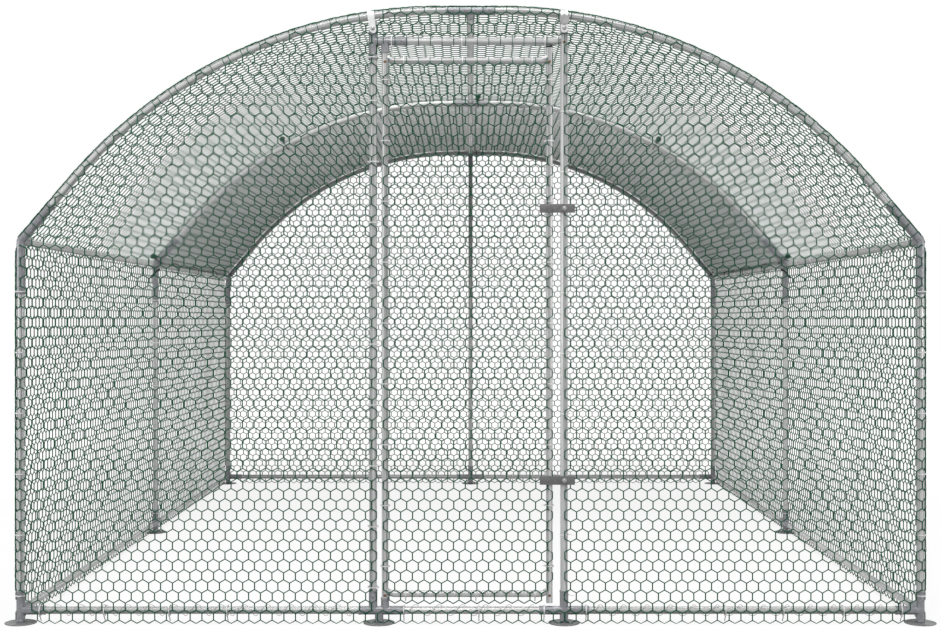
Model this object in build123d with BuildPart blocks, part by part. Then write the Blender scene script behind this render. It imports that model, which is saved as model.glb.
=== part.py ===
from build123d import *

import os
from math import asin, atan2, cos, degrees, hypot, pi, sin, sqrt, tan

# Walk-in poultry run: a barrel-vaulted frame of round tubes in sleeve connectors, closed
# with hexagonal wire netting, with a hinged door, two turn-button latches and a sheet
# over the rear half of the roof.
# Millimetres. X runs across the run, Y from the door to the back wall, Z up. The origin
# is on the ground, under the middle of the run.

# Overall sizes, between tube axes
width = 3000.0
bay_length = 2000.0
ridge_height = 2042.0
eave_height = 1274.0
base_height = 43.0
ridge_flat = 100.0  # straight length of an arch half at the ridge
eave_straight = 265.0  # straight length of an arch half at the eave

# Tubes: drawn with flats, within 0.7 mm of round, and bends with straight runs
tube_od = 25.0
tube_wall = 1.0
tube_sides = 10
arch_steps = 8  # runs in the bend of an arch half
door_tube_od = 22.0
door_tube_wall = 1.0
weld_gap = 0.1  # between a coped tube end and the tube it is welded to

# Sleeve connectors
fit = 0.2  # clearance of a tube in its sleeve, all round
sleeve_wall = 1.6
socket_web = 1.0  # of metal behind the floor of a socket
end_gap = 1.0  # left between a tube's end and the floor of its socket
rail_sleeve = 83.0  # reach of a sleeve from the connector's centre, for a rail
ridge_sleeve = 83.0
eave_leg_sleeve = 177.0
eave_arch_sleeve = 160.0
leg_sleeve = 67.0
door_post_sleeve = 70.0

# Feet
foot_diameter = 105.0
foot_thickness = 3.0
foot_sides = 16
foot_lift = 1.0  # from a foot's plate to the sleeve above it

# Door and the posts beside it
hinge_post_x = -325.0
pivot_gap = 40.0  # hinge post to pivot
door_width = 548.0  # pivot to latch stile
latch_gap = 49.0  # latch stile to latch post
header_drop = 102.0  # ridge to header
door_top_drop = 65.0  # header to the door's top rail
door_bottom_lift = 55.0  # sill to the door's bottom rail
stile_lift = 25.0  # sill to the lower end of the hinge stile
header_sleeve_up = 33.0
header_sleeve_down = 63.0
header_sleeve_right = 75.0  # past the pivot
base_sleeve_left = 48.0  # past the hinge post
base_sleeve_right = 66.0  # past the pivot
pivot_fit = 0.2  # running clearance of the hinge stile in its cups
pivot_wall = 2.3
header_cup = 24.0  # depth of the upper cup, round the end of the hinge stile
base_cup_gap = 1.0  # from the lower cup to the door's bottom rail
cap_height = 6.0
cap_lip = 0.8
cap_gap = 2.0  # under the header

# Turn-button latches
latch_heights = {"lower": 478.0, "upper": 1382.0}
latch_long_arm = 82.0
latch_short_arm = 35.0
latch_width = 29.0
latch_thickness = 3.0
latch_corner = 2.0
latch_lift = 0.9  # from the netting to the back of a latch
bolt_diameter = 6.0
bolt_hole = 6.4
bolt_head = 13.0
bolt_head_height = 4.0
bolt_sides = 8
collar_diameter = 13.0
run_gap = 0.1  # beside a latch, on its bolt

# Straps that hang the door posts from the front arch: width of each
strap_widths = {"hinge": 20.0, "latch": 32.0}
strap_thickness = 2.0
strap_steps = 6  # runs in the bend over the arch
strap_drop = 62.0  # below the arch's axis
strap_bolt_drop = 46.0
strap_notch = 1.0  # cut free of the netting round a strap

# Netting: one gap is drawn for a block of cells, with strands of the block's wire weight
net_pitch = 39.0
wall_cells = 16  # cells across a gap drawn in a wall
roof_cells = 16  # in the roof
door_cells = 7  # in the door
over_door_cells = 4  # over the door and under it
net_spread = 0.05  # thickness of the wire if it were spread over the netting's area
net_thickness = 2.0
net_border = 6.0
net_lift = 0.3  # from what the netting lies on
net_ground = 8.0
net_top_drop = 4.0  # below the axis of the arch at the top of a wall
net_lap = 8.0  # past the axis of a tube at the edge of the netting
post_lap = 11.0  # short of the axis of a door post
door_skirt = 32.0  # netting below the door's bottom rail
smallest_gap = 0.02  # part of a whole gap, below which it is left closed

# Roof cover
cover_thickness = 1.5
cover_overhang = 25.0

# Worked out from the sizes above
half_width = width / 2
stations = {"front": -bay_length, "mid": 0.0, "back": bay_length}
front = stations["front"]
back = stations["back"]
sides = {"left": -1, "right": 1}
pivot_x = hinge_post_x + pivot_gap
latch_stile_x = pivot_x + door_width
latch_post_x = latch_stile_x + latch_gap
hinge_foot_x = (hinge_post_x + pivot_x) / 2
header_height = ridge_height - header_drop
door_top = header_height - door_top_drop
door_bottom = base_height + door_bottom_lift
stile_bottom = base_height + stile_lift

flat_part = cos(pi / tube_sides)  # from a drawn tube's corner radius to its flats
socket_od = tube_od + 2 * fit
sleeve_od = socket_od + 2 * sleeve_wall
socket_floor = sleeve_od / 2 + socket_web
tube_end = socket_floor + end_gap
foot_reach = base_height - foot_thickness - foot_lift
pivot_bore = door_tube_od + 2 * pivot_fit
pivot_od = pivot_bore + 2 * pivot_wall
hinge_stile_top = header_height - sleeve_od / 2 - end_gap
header_cup_bottom = hinge_stile_top - header_cup
base_cup_top = door_bottom - door_tube_od / 2 - base_cup_gap
latch_stile_top = header_height - tube_od / 2 - cap_gap - cap_height

rise = ridge_height - eave_height
run = half_width - ridge_flat
arch_radius = (run**2 + rise**2 - eave_straight**2) / (2 * rise)
arch_turn = asin(run / hypot(arch_radius, eave_straight)) - atan2(eave_straight, arch_radius)
arch_centre_height = ridge_height - arch_radius
eave_bend = pi / 2 - arch_turn

net_inner = sleeve_od / 2 + net_lift
net_outer = net_inner + net_thickness
face_net_inner = sleeve_od / 2 * flat_part + net_lift
over_door_inner = max(sleeve_od, pivot_od) / 2 * flat_part + net_lift
cover_inner = net_outer + net_lift
cover_outer = cover_inner + cover_thickness
door_net_inner = door_tube_od / 2 * flat_part + net_lift
latch_back = front - net_outer - latch_lift
latch_front = latch_back - latch_thickness

roof_pitch = net_pitch * roof_cells

os.makedirs("parts", exist_ok=True)


def save(piece, label):
    """Label a finished piece and write it."""
    piece.part.label = label
    export_step(piece.part, f"parts/{label}.step")


def section_plane(start, end):
    """Plane at start, square to the run from start to end, with an axis for its x."""
    direction = (Vector(*end) - Vector(*start)).normalized()
    along_y = abs(direction.Y) > 0.5
    return Plane(origin=start, x_dir=(1, 0, 0) if along_y else (0, 1, 0), z_dir=direction)


def ring(diameter, mode=Mode.ADD, ring_sides=tube_sides):
    """Drawn section of a round bar, with flats facing along the plane's x."""
    RegularPolygon(diameter / 2, ring_sides, rotation=180 / ring_sides, mode=mode)


def bar(start, end, diameter, mode=Mode.ADD, bar_sides=tube_sides):
    """Bar from start to end in the part being built, or the same bar cut out of it."""
    with BuildSketch(section_plane(start, end)) as section:
        ring(diameter, ring_sides=bar_sides)
    extrude(section.sketch, amount=(Vector(*end) - Vector(*start)).length, mode=mode)


def tube(start, end, diameter=tube_od, wall=tube_wall):
    """Open tube from start to end in the part being built."""
    with BuildSketch(section_plane(start, end)) as section:
        ring(diameter)
        ring(diameter - 2 * wall, mode=Mode.SUBTRACT)
    extrude(section.sketch, amount=(Vector(*end) - Vector(*start)).length)


def along(point, direction, distance):
    """Point that lies a distance from another, along a direction."""
    return tuple(p + d * distance for p, d in zip(point, direction))


def connector(centre, sleeves, lap=0.0):
    """Sleeves that reach out from one centre, each with a socket for a tube."""
    for direction, reach in sleeves:
        bar(along(centre, direction, -lap), along(centre, direction, reach), sleeve_od)
    for direction, reach in sleeves:
        socket = along(centre, direction, socket_floor)
        bar(socket, along(centre, direction, reach), socket_od, Mode.SUBTRACT)


def arch_profile(offset=0.0):
    """Right half of an arch, ridge to eave corner, set outwards by an offset: x and z."""
    reach = arch_radius + offset
    turns = [arch_turn * step / arch_steps for step in range(arch_steps + 1)]
    bend = [(ridge_flat + reach * sin(t), arch_centre_height + reach * cos(t)) for t in turns]
    corner = (half_width + offset, eave_height + offset * tan(eave_bend / 2))
    return [(0.0, ridge_height + offset), *bend, corner]


def arch_height(x, offset=0.0):
    """Height of an arch at x, set outwards by an offset."""
    profile = arch_profile(offset)
    for (x0, z0), (x1, z1) in zip(profile, profile[1:]):
        if x0 <= abs(x) <= x1:
            return z0 + (z1 - z0) * (abs(x) - x0) / (x1 - x0)
    return profile[-1][1]


def arch_slope(x):
    """Angle below the level at which an arch falls away at x."""
    return asin(min(max((abs(x) - ridge_flat) / arch_radius, 0.0), sin(arch_turn)))


def roof_band(inner, outer):
    """Closed outline between two offsets of an arch, from eave to eave."""
    over = [*[(-x, z) for x, z in reversed(arch_profile(outer))], *arch_profile(outer)[1:]]
    under = [*[(-x, z) for x, z in reversed(arch_profile(inner))], *arch_profile(inner)[1:]]
    return [*over, *reversed(under)]


def wall_under_arch(x0, x1, bottom):
    """Outline of flat netting between x0 and x1, from bottom up to the arch."""
    half = arch_profile(-net_top_drop)
    top = [*[(-x, z) for x, z in reversed(half)], *half[1:]]
    crown = [(x, z) for x, z in top if x0 < x < x1]
    corners = [(x, arch_height(x, -net_top_drop)) for x in (x0, x1)]
    return [(x1, bottom), (x0, bottom), corners[0], *crown, corners[1]]


def roof_place(girth):
    """Point of an arch at a distance round it from the ridge, and its slope: x, z, angle."""
    bend = min(max(abs(girth) - ridge_flat, 0.0), arch_radius * arch_turn)
    straight = abs(girth) - bend
    level = min(straight, ridge_flat)
    slope = bend / arch_radius
    down_straight = straight - level
    x = level + arch_radius * sin(slope) + down_straight * cos(slope)
    z = arch_centre_height + arch_radius * cos(slope) - down_straight * sin(slope)
    sign = 1 if girth > 0 else -1
    return sign * x, z, sign * slope


def gap_row(pitch):
    """Distance between rows of gaps that lie a pitch apart in their row."""
    return pitch * sqrt(3) / 2


def gap_centres(low, high, pitch):
    """Centres of the gaps that reach into the box from low to high."""
    row = gap_row(pitch)
    columns = range(int(low[0] // pitch) - 1, int(high[0] // pitch) + 2)
    rows = range(int(low[1] // row) - 1, int(high[1] // row) + 2)
    return [(pitch * (i + 0.5 * (j % 2)), row * j) for j in rows for i in columns]


def gap_hexagon(pitch):
    """Gap between strands, with a corner at the top."""
    strand = net_spread / net_thickness * pitch / 2
    RegularPolygon((pitch - strand) / sqrt(3), 6, rotation=30)


def flat_net(plane, outline, cells=wall_cells, thickness=net_thickness):
    """Flat netting in the part being built: one face full of hexagonal gaps, made thick."""
    pitch = net_pitch * cells
    low = [min(p[axis] for p in outline) for axis in (0, 1)]
    high = [max(p[axis] for p in outline) for axis in (0, 1)]
    with BuildSketch(Plane.XY, mode=Mode.PRIVATE) as inside:
        with BuildLine():
            Polyline(*outline, close=True)
        make_face()
        offset(amount=-net_border, kind=Kind.INTERSECTION, mode=Mode.REPLACE)
    with BuildSketch(Plane.XY, mode=Mode.PRIVATE) as gaps:
        with Locations(*gap_centres(low, high, pitch)):
            gap_hexagon(pitch)
        add(inside.sketch, mode=Mode.INTERSECT)
    smallest_area = smallest_gap * pitch * gap_row(pitch)
    with BuildSketch(Plane.XY, mode=Mode.PRIVATE) as net:
        with BuildLine():
            Polyline(*outline, close=True)
        make_face()
        add([gap for gap in gaps.faces() if gap.area > smallest_area], mode=Mode.SUBTRACT)
    with BuildSketch(plane) as placed:
        add(net.sketch)
    extrude(placed.sketch, amount=thickness)


# Legs, one under each end of each arch
for station, y in stations.items():
    for side, sign in sides.items():
        with BuildPart() as leg:
            x = sign * half_width
            tube((x, y, base_height + tube_end), (x, y, eave_height - tube_end))
        save(leg, f"leg_{station}_{side}")

# Arch halves: straight, bent and straight again, from the ridge to the eave
corner_x, corner_z = arch_profile()[-1]
for station, y in stations.items():
    for side, sign in sides.items():
        with BuildPart() as arch:
            bend = arch_profile()[1:-1]
            end = (corner_x - tube_end * cos(arch_turn), corner_z + tube_end * sin(arch_turn))
            route = [(tube_end, ridge_height), *bend, end]
            points = [(sign * x, y, z) for x, z in route]
            with BuildLine() as path:
                Polyline(*points)
            with BuildSketch(section_plane(points[0], points[1])):
                ring(tube_od)
                ring(tube_od - 2 * tube_wall, mode=Mode.SUBTRACT)
            sweep(path=path.line, transition=Transition.RIGHT)
        save(arch, f"arch_{station}_{side}")

# Rails along the run, one in each bay: ridge, eaves and base
bays = {"front": ("front", "mid"), "rear": ("mid", "back")}
for bay, (near, far) in bays.items():
    y0 = stations[near] + tube_end
    y1 = stations[far] - tube_end
    with BuildPart() as ridge_rail:
        tube((0, y0, ridge_height), (0, y1, ridge_height))
    save(ridge_rail, f"ridge_rail_{bay}")
    for side, sign in sides.items():
        x = sign * half_width
        with BuildPart() as eave_rail:
            tube((x, y0, eave_height), (x, y1, eave_height))
        save(eave_rail, f"eave_rail_{side}_{bay}")
        with BuildPart() as base_rail:
            tube((x, y0, base_height), (x, y1, base_height))
        save(base_rail, f"base_rail_{side}_{bay}")

# Rails across the run: back wall, front wall and door sill
for side, sign in sides.items():
    with BuildPart() as base_rail:
        inner = (sign * tube_end, back, base_height)
        tube(inner, (sign * (half_width - tube_end), back, base_height))
    save(base_rail, f"base_rail_back_{side}")

with BuildPart() as base_rail:
    inner = (hinge_post_x - tube_end, front, base_height)
    tube((-half_width + tube_end, front, base_height), inner)
save(base_rail, "base_rail_front_left")

with BuildPart() as base_rail:
    inner = (latch_post_x + tube_end, front, base_height)
    tube(inner, (half_width - tube_end, front, base_height))
save(base_rail, "base_rail_front_right")

with BuildPart() as door_sill:
    inner = (pivot_x + tube_end, front, base_height)
    tube(inner, (latch_post_x - tube_end, front, base_height))
save(door_sill, "door_sill")

# Header over the door, coped to the latch post
with BuildPart() as door_header:
    inner = (pivot_x + tube_end, front, header_height)
    tube(inner, (latch_post_x, front, header_height))
    low = (latch_post_x, front, header_height - tube_od)
    high = (latch_post_x, front, header_height + tube_od)
    bar(low, high, tube_od + 2 * weld_gap, Mode.SUBTRACT)
save(door_header, "door_header")


def post_top(x):
    """Height at which a door post stops, under the front arch."""
    outer = abs(x) + tube_od / 2
    return arch_height(outer) - tube_od / 2 / cos(arch_slope(outer)) - net_lift


def strap_bolt_height(x):
    """Height of the bolt through a strap and the door post at x."""
    return arch_height(x) - strap_bolt_drop


# Posts beside the door, each with the cross hole of its strap bolt
for label, x in (("hinge_post", hinge_post_x), ("latch_post", latch_post_x)):
    with BuildPart() as post:
        tube((x, front, base_height + tube_end), (x, front, post_top(x)))
        with BuildSketch(Plane.XZ.offset(-front)):
            with Locations((x, strap_bolt_height(x))):
                RegularPolygon(bolt_hole / 2, bolt_sides, major_radius=False)
        extrude(amount=tube_od, both=True, mode=Mode.SUBTRACT)
    save(post, label)

# Post in the middle of the back wall, up to the ridge
with BuildPart() as back_post:
    tube((0, back, base_height + tube_end), (0, back, ridge_height - tube_end))
save(back_post, "back_post")

# Ridge connectors: the two arch halves, the ridge rails and, at the back, the middle post
right, left, up, down = (1, 0, 0), (-1, 0, 0), (0, 0, 1), (0, 0, -1)
rearward, forward = (0, 1, 0), (0, -1, 0)
rail_ways = {"front": [rearward], "mid": [rearward, forward], "back": [forward]}
with BuildPart() as ridge_connectors:
    for station, y in stations.items():
        sleeves = [(left, ridge_sleeve), (right, ridge_sleeve)]
        sleeves += [(way, rail_sleeve) for way in rail_ways[station]]
        if station == "back":
            sleeves.append((down, rail_sleeve))
        connector((0, y, ridge_height), sleeves)
save(ridge_connectors, "ridge_connectors")

# Eave connectors: leg, arch and eave rails
eave_lap = sleeve_od / 2 * tan(eave_bend / 2)
with BuildPart() as eave_connectors:
    for station, y in stations.items():
        for side, sign in sides.items():
            arch_way = (-sign * cos(arch_turn), 0, sin(arch_turn))
            sleeves = [(down, eave_leg_sleeve), (arch_way, eave_arch_sleeve)]
            sleeves += [(way, rail_sleeve) for way in rail_ways[station]]
            connector((sign * half_width, y, eave_height), sleeves, lap=eave_lap)
save(eave_connectors, "eave_connectors")

# Base connectors: leg, foot and the rails that meet there
with BuildPart() as base_corner_connectors:
    for station in ("front", "back"):
        for side, sign in sides.items():
            sleeves = [(up, leg_sleeve), (down, foot_reach), ((-sign, 0, 0), rail_sleeve)]
            sleeves += [(way, rail_sleeve) for way in rail_ways[station]]
            connector((sign * half_width, stations[station], base_height), sleeves)
save(base_corner_connectors, "base_corner_connectors")

with BuildPart() as base_side_connectors:
    for side, sign in sides.items():
        sleeves = [(up, leg_sleeve), (down, foot_reach)]
        sleeves += [(way, rail_sleeve) for way in rail_ways["mid"]]
        connector((sign * half_width, stations["mid"], base_height), sleeves)
save(base_side_connectors, "base_side_connectors")

with BuildPart() as base_back_connector:
    sleeves = [(up, leg_sleeve), (down, foot_reach), (left, rail_sleeve), (right, rail_sleeve)]
    connector((0, back, base_height), sleeves)
save(base_back_connector, "base_back_connector")

with BuildPart() as latch_base_connector:
    sleeves = [(up, leg_sleeve), (down, foot_reach), (left, rail_sleeve), (right, rail_sleeve)]
    connector((latch_post_x, front, base_height), sleeves)
save(latch_base_connector, "latch_base_connector")

# Hinge connectors: each carries the hinge post and, beside it, a round cup for the stile
with BuildPart() as hinge_base_connector:
    left_end = (hinge_post_x - base_sleeve_left, front, base_height)
    right_end = (pivot_x + base_sleeve_right, front, base_height)
    post_foot = (hinge_post_x, front, base_height)
    foot_top = (hinge_foot_x, front, base_height)
    cup_foot = (pivot_x, front, base_height)
    cup_floor = (pivot_x, front, stile_bottom - end_gap)
    bar(left_end, right_end, sleeve_od)
    bar(cup_foot, (pivot_x, front, base_cup_top), pivot_od)
    connector(post_foot, [(up, door_post_sleeve)])
    connector(foot_top, [(down, foot_reach)])
    bar(along(post_foot, left, socket_floor), left_end, socket_od, Mode.SUBTRACT)
    bar(along(cup_foot, right, socket_floor), right_end, socket_od, Mode.SUBTRACT)
    with Locations(cup_floor):
        cup = (pivot_bore / 2, base_cup_top - cup_floor[2])
        Cylinder(*cup, align=(Align.CENTER, Align.CENTER, Align.MIN), mode=Mode.SUBTRACT)
save(hinge_base_connector, "hinge_base_connector")

with BuildPart() as hinge_header_connector:
    centre = (hinge_post_x, front, header_height)
    cup_top = (pivot_x, front, header_height)
    cup_mouth = (pivot_x, front, header_cup_bottom)
    right_end = (pivot_x + header_sleeve_right, front, header_height)
    bar(centre, right_end, sleeve_od)
    bar(cup_top, cup_mouth, pivot_od)
    bar(along(centre, down, header_sleeve_down), along(centre, up, header_sleeve_up), sleeve_od)
    through = along(centre, up, header_sleeve_up)
    bar(along(centre, down, header_sleeve_down), through, socket_od, Mode.SUBTRACT)
    bar(along(cup_top, right, socket_floor), right_end, socket_od, Mode.SUBTRACT)
    with Locations(cup_mouth):
        cup = (pivot_bore / 2, header_cup + end_gap / 2)
        Cylinder(*cup, align=(Align.CENTER, Align.CENTER, Align.MIN), mode=Mode.SUBTRACT)
save(hinge_header_connector, "hinge_header_connector")

# Feet: a round plate with a stem that stands in the connector above it
foot_places = [(sign * half_width, y) for sign in sides.values() for y in stations.values()]
foot_places += [(0, back), (hinge_foot_x, front), (latch_post_x, front)]
with BuildPart() as foot_plates:
    for x, y in foot_places:
        with BuildSketch():
            with Locations((x, y)):
                RegularPolygon(foot_diameter / 2, foot_sides)
        extrude(amount=foot_thickness)
        bar((x, y, 0), (x, y, base_height - tube_end), tube_od)
save(foot_plates, "foot_plates")

# Door: two stiles, two rails coped to them, and a cap on the latch stile
with BuildPart() as stile:
    foot_end = (pivot_x, front, stile_bottom)
    tube(foot_end, (pivot_x, front, hinge_stile_top), door_tube_od, door_tube_wall)
save(stile, "door_hinge_stile")

with BuildPart() as stile:
    foot_end = (latch_stile_x, front, stile_bottom)
    tube(foot_end, (latch_stile_x, front, latch_stile_top), door_tube_od, door_tube_wall)
save(stile, "door_latch_stile")

for label, z in (("door_top_rail", door_top), ("door_bottom_rail", door_bottom)):
    with BuildPart() as rail:
        tube((pivot_x, front, z), (latch_stile_x, front, z), door_tube_od, door_tube_wall)
        for x in (pivot_x, latch_stile_x):
            low = (x, front, z - door_tube_od)
            bar(low, along(low, up, 2 * door_tube_od), door_tube_od + 2 * weld_gap, Mode.SUBTRACT)
    save(rail, label)

with BuildPart() as stile_cap:
    seat = (latch_stile_x, front, latch_stile_top)
    bar(seat, along(seat, up, cap_height), door_tube_od + 2 * cap_lip)
save(stile_cap, "stile_cap")

# Latches: flat bars that turn on their bolts, in front of the latch post
for name, z in latch_heights.items():
    with BuildPart() as latch:
        with BuildSketch(Plane.XZ.offset(-latch_back)):
            reach = latch_long_arm + latch_short_arm
            middle = latch_post_x + (latch_short_arm - latch_long_arm) / 2
            with Locations((middle, z)):
                Rectangle(reach, latch_width)
            chamfer(vertices(), length=latch_corner)
            with Locations((latch_post_x, z)):
                RegularPolygon(bolt_hole / 2, bolt_sides, major_radius=False, mode=Mode.SUBTRACT)
        extrude(amount=latch_thickness)
    save(latch, f"latch_{name}")

# Bolts: a latch turns on a stud with a collar behind it and a head in front of it, and
# each strap has a bolt through both of its legs and the post
post_face = front - tube_od / 2 * flat_part
strap_inner = net_outer + latch_lift
strap_outer = strap_inner + strap_thickness
with BuildPart() as bolts:
    for z in latch_heights.values():
        seat = (latch_post_x, post_face, z)
        collar_end = (latch_post_x, latch_back + run_gap, z)
        tip = (latch_post_x, latch_front - run_gap, z)
        head_end = along(tip, forward, bolt_head_height)
        bar(seat, collar_end, collar_diameter, bar_sides=bolt_sides)
        bar(collar_end, tip, bolt_diameter, bar_sides=bolt_sides)
        bar(tip, head_end, bolt_head, bar_sides=bolt_sides)
    for x in (hinge_post_x, latch_post_x):
        face = (x, front - strap_outer, strap_bolt_height(x))
        far_face = along(face, rearward, 2 * strap_outer)
        bar(face, far_face, bolt_diameter, bar_sides=bolt_sides)
        bar(face, along(face, forward, bolt_head_height), bolt_head, bar_sides=bolt_sides)
        bar(far_face, along(far_face, rearward, bolt_head_height), bolt_head, bar_sides=bolt_sides)
save(bolts, "bolts")

# Straps: each goes over the front arch and down both sides of a post
straps = ((hinge_post_x, strap_widths["hinge"]), (latch_post_x, strap_widths["latch"]))
strap_turns = [pi * step / strap_steps for step in range(strap_steps + 1)]
with BuildPart() as post_straps:
    for x, strap_width in straps:
        crown = arch_height(abs(x) - strap_width / 2, tube_od / 2) + net_lift - strap_inner
        foot_z = arch_height(x) - strap_drop
        outline = []
        for reach, turns in ((strap_outer, strap_turns), (strap_inner, strap_turns[::-1])):
            bend = [(front - reach * cos(t), crown + reach * sin(t)) for t in turns]
            outline += [(bend[0][0], foot_z), *bend, (bend[-1][0], foot_z)]
        with BuildSketch(Plane.YZ.offset(x)):
            with BuildLine():
                Polyline(*outline, close=True)
            make_face()
        extrude(amount=strap_width / 2, both=True)
        with BuildSketch(Plane.XZ.offset(-front)):
            with Locations((x, strap_bolt_height(x))):
                RegularPolygon(bolt_hole / 2, bolt_sides, major_radius=False)
        extrude(amount=2 * strap_outer, both=True, mode=Mode.SUBTRACT)
save(post_straps, "post_straps")

# Netting on the flat walls: seen from the front, sketch x and y are X and Z
front_face = Plane(origin=(0, front - face_net_inner, 0), x_dir=right, z_dir=forward)
over_face = Plane(origin=(0, front - over_door_inner, 0), x_dir=right, z_dir=forward)
door_face = Plane(origin=(0, front - door_net_inner, 0), x_dir=right, z_dir=forward)
back_face = Plane(origin=(0, back + face_net_inner, 0), x_dir=right, z_dir=forward)
wall_edge = half_width + net_lap

with BuildPart() as net:
    flat_net(front_face, wall_under_arch(-wall_edge, hinge_post_x - post_lap, net_ground))
save(net, "net_front_left")

with BuildPart() as net:
    flat_net(front_face, wall_under_arch(latch_post_x + post_lap, wall_edge, net_ground))
save(net, "net_front_right")

with BuildPart() as net:
    over_door = (hinge_post_x + post_lap, latch_post_x - post_lap, header_height - net_lap)
    flat_net(over_face, wall_under_arch(*over_door), cells=over_door_cells)
save(net, "net_over_door")

with BuildPart() as net:
    left_end = hinge_post_x - post_lap + net_lift
    right_end = latch_post_x + post_lap - net_lift
    outline = [(left_end, net_ground), (right_end, net_ground)]
    outline += [(right_end, base_height), (left_end, base_height)]
    flat_net(front_face, outline, cells=over_door_cells)
save(net, "net_sill")

with BuildPart() as net:
    outline = wall_under_arch(-wall_edge, wall_edge, net_ground)
    flat_net(back_face, outline, thickness=-net_thickness)
save(net, "net_back")

# The door's netting has a skirt between the stiles
with BuildPart() as net:
    edge = (pivot_x - net_lap, latch_stile_x + net_lap)
    inset = (pivot_x + pivot_od / 2 + net_lap, latch_stile_x - pivot_od / 2 - net_lap)
    skirt = door_bottom - door_skirt
    low = base_cup_top + net_lap
    top = door_top + net_lap
    outline = [(inset[0], skirt), (inset[1], skirt), (inset[1], low), (edge[1], low)]
    outline += [(edge[1], top), (edge[0], top), (edge[0], low), (inset[0], low)]
    flat_net(door_face, outline, cells=door_cells)
save(net, "net_door")

# Side walls: sketch x and y are Y and Z
for side, sign in sides.items():
    with BuildPart() as net:
        origin = (sign * net_inner + sign * half_width, 0, 0)
        plane = Plane(origin=origin, x_dir=rearward, z_dir=right)
        reach = back + net_lap
        top = eave_height + net_inner * tan(eave_bend / 2) - net_lift
        outline = [(-reach, net_ground), (reach, net_ground), (reach, top), (-reach, top)]
        flat_net(plane, outline, thickness=sign * net_thickness)
    save(net, f"net_side_{side}")

# Netting over the roof: one length across each bay, with its gaps cut square to the arch
half_girth = ridge_flat + arch_radius * arch_turn + eave_straight
for bay, (near, far) in bays.items():
    y0 = stations[near] - (net_lap if near == "front" else -net_lift)
    y1 = stations[far] + (net_lap if far == "back" else -net_lift)
    with BuildPart() as gaps:
        for y, girth in gap_centres((y0, -half_girth), (y1, half_girth), roof_pitch):
            x, z, slope = roof_place(girth)
            outward = (sin(slope), 0, cos(slope))
            with BuildSketch(Plane(origin=(x, y, z), x_dir=rearward, z_dir=outward)):
                gap_hexagon(roof_pitch)
        extrude(amount=gap_row(roof_pitch), both=True)
        with BuildSketch(Plane.XZ.offset(net_border - y1)):
            with BuildLine():
                Polyline(*roof_band(0, 2 * net_outer), close=True)
            make_face()
        extrude(amount=y1 - y0 - 2 * net_border, mode=Mode.INTERSECT)
    with BuildPart() as net:
        with BuildSketch(Plane.XZ.offset(-y1)):
            with BuildLine():
                Polyline(*roof_band(net_inner, net_outer), close=True)
            make_face()
        extrude(amount=y1 - y0)
        add(gaps.part, mode=Mode.SUBTRACT)
        for x, strap_width in straps:
            clear = strap_outer + strap_notch
            with Locations((x, front, arch_height(x, net_inner))):
                Box(strap_width + 2 * strap_notch, 2 * clear, 2 * clear, mode=Mode.SUBTRACT)
    save(net, f"net_roof_{bay}")

# Cover over the rear bay
with BuildPart() as roof_cover:
    y0 = stations["mid"] - cover_overhang
    y1 = back + cover_overhang
    with BuildSketch(Plane.XZ.offset(-y1)):
        with BuildLine():
            Polyline(*roof_band(cover_inner, cover_outer), close=True)
        make_face()
    extrude(amount=y1 - y0)
save(roof_cover, "roof_cover")

print("arch radius", round(arch_radius, 1), "turn", round(degrees(arch_turn), 2))
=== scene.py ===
from math import acos, asin, atan2, ceil, cos, hypot, pi, radians, sin, sqrt, tan

import bmesh
import bpy
import numpy as np
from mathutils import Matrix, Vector


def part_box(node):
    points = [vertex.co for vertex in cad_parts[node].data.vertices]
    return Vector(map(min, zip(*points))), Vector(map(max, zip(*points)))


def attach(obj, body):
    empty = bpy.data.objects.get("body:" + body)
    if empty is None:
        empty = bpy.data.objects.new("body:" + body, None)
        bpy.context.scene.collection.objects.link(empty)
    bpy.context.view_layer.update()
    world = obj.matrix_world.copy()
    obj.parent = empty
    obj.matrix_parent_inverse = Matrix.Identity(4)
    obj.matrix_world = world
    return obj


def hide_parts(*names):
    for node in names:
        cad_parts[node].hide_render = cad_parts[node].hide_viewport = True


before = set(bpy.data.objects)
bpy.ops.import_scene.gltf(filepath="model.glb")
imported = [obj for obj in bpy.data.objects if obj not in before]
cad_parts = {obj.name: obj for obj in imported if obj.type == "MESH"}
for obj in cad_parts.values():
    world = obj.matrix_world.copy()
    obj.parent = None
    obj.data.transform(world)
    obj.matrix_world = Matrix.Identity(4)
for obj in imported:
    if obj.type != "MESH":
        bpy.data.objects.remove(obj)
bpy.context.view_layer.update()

# Metres, in the frame of the CAD model: X across the run, Y from the door to the back, Z up


def middle(node):
    """Middle of a CAD node's box."""
    low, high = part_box(node)
    return (low + high) / 2


# Places of the tube axes, read from the frame
half_width, front_y = middle("leg_front_right").xy
mid_y = middle("leg_mid_right").y
back_y = middle("leg_back_right").y
base_z = middle("base_rail_left_front").z
eave_z = middle("eave_rail_left_front").z
ridge_z = middle("ridge_rail_front").z
hinge_x = middle("hinge_post").x
pivot_x = middle("door_hinge_stile").x
stile_x = middle("door_latch_stile").x
latch_x = middle("latch_post").x
header_z = middle("door_header").z
door_top_z = middle("door_top_rail").z
door_bottom_z = middle("door_bottom_rail").z
stations = {"front": front_y, "mid": mid_y, "back": back_y}
sides = {"left": -1, "right": 1}

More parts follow.
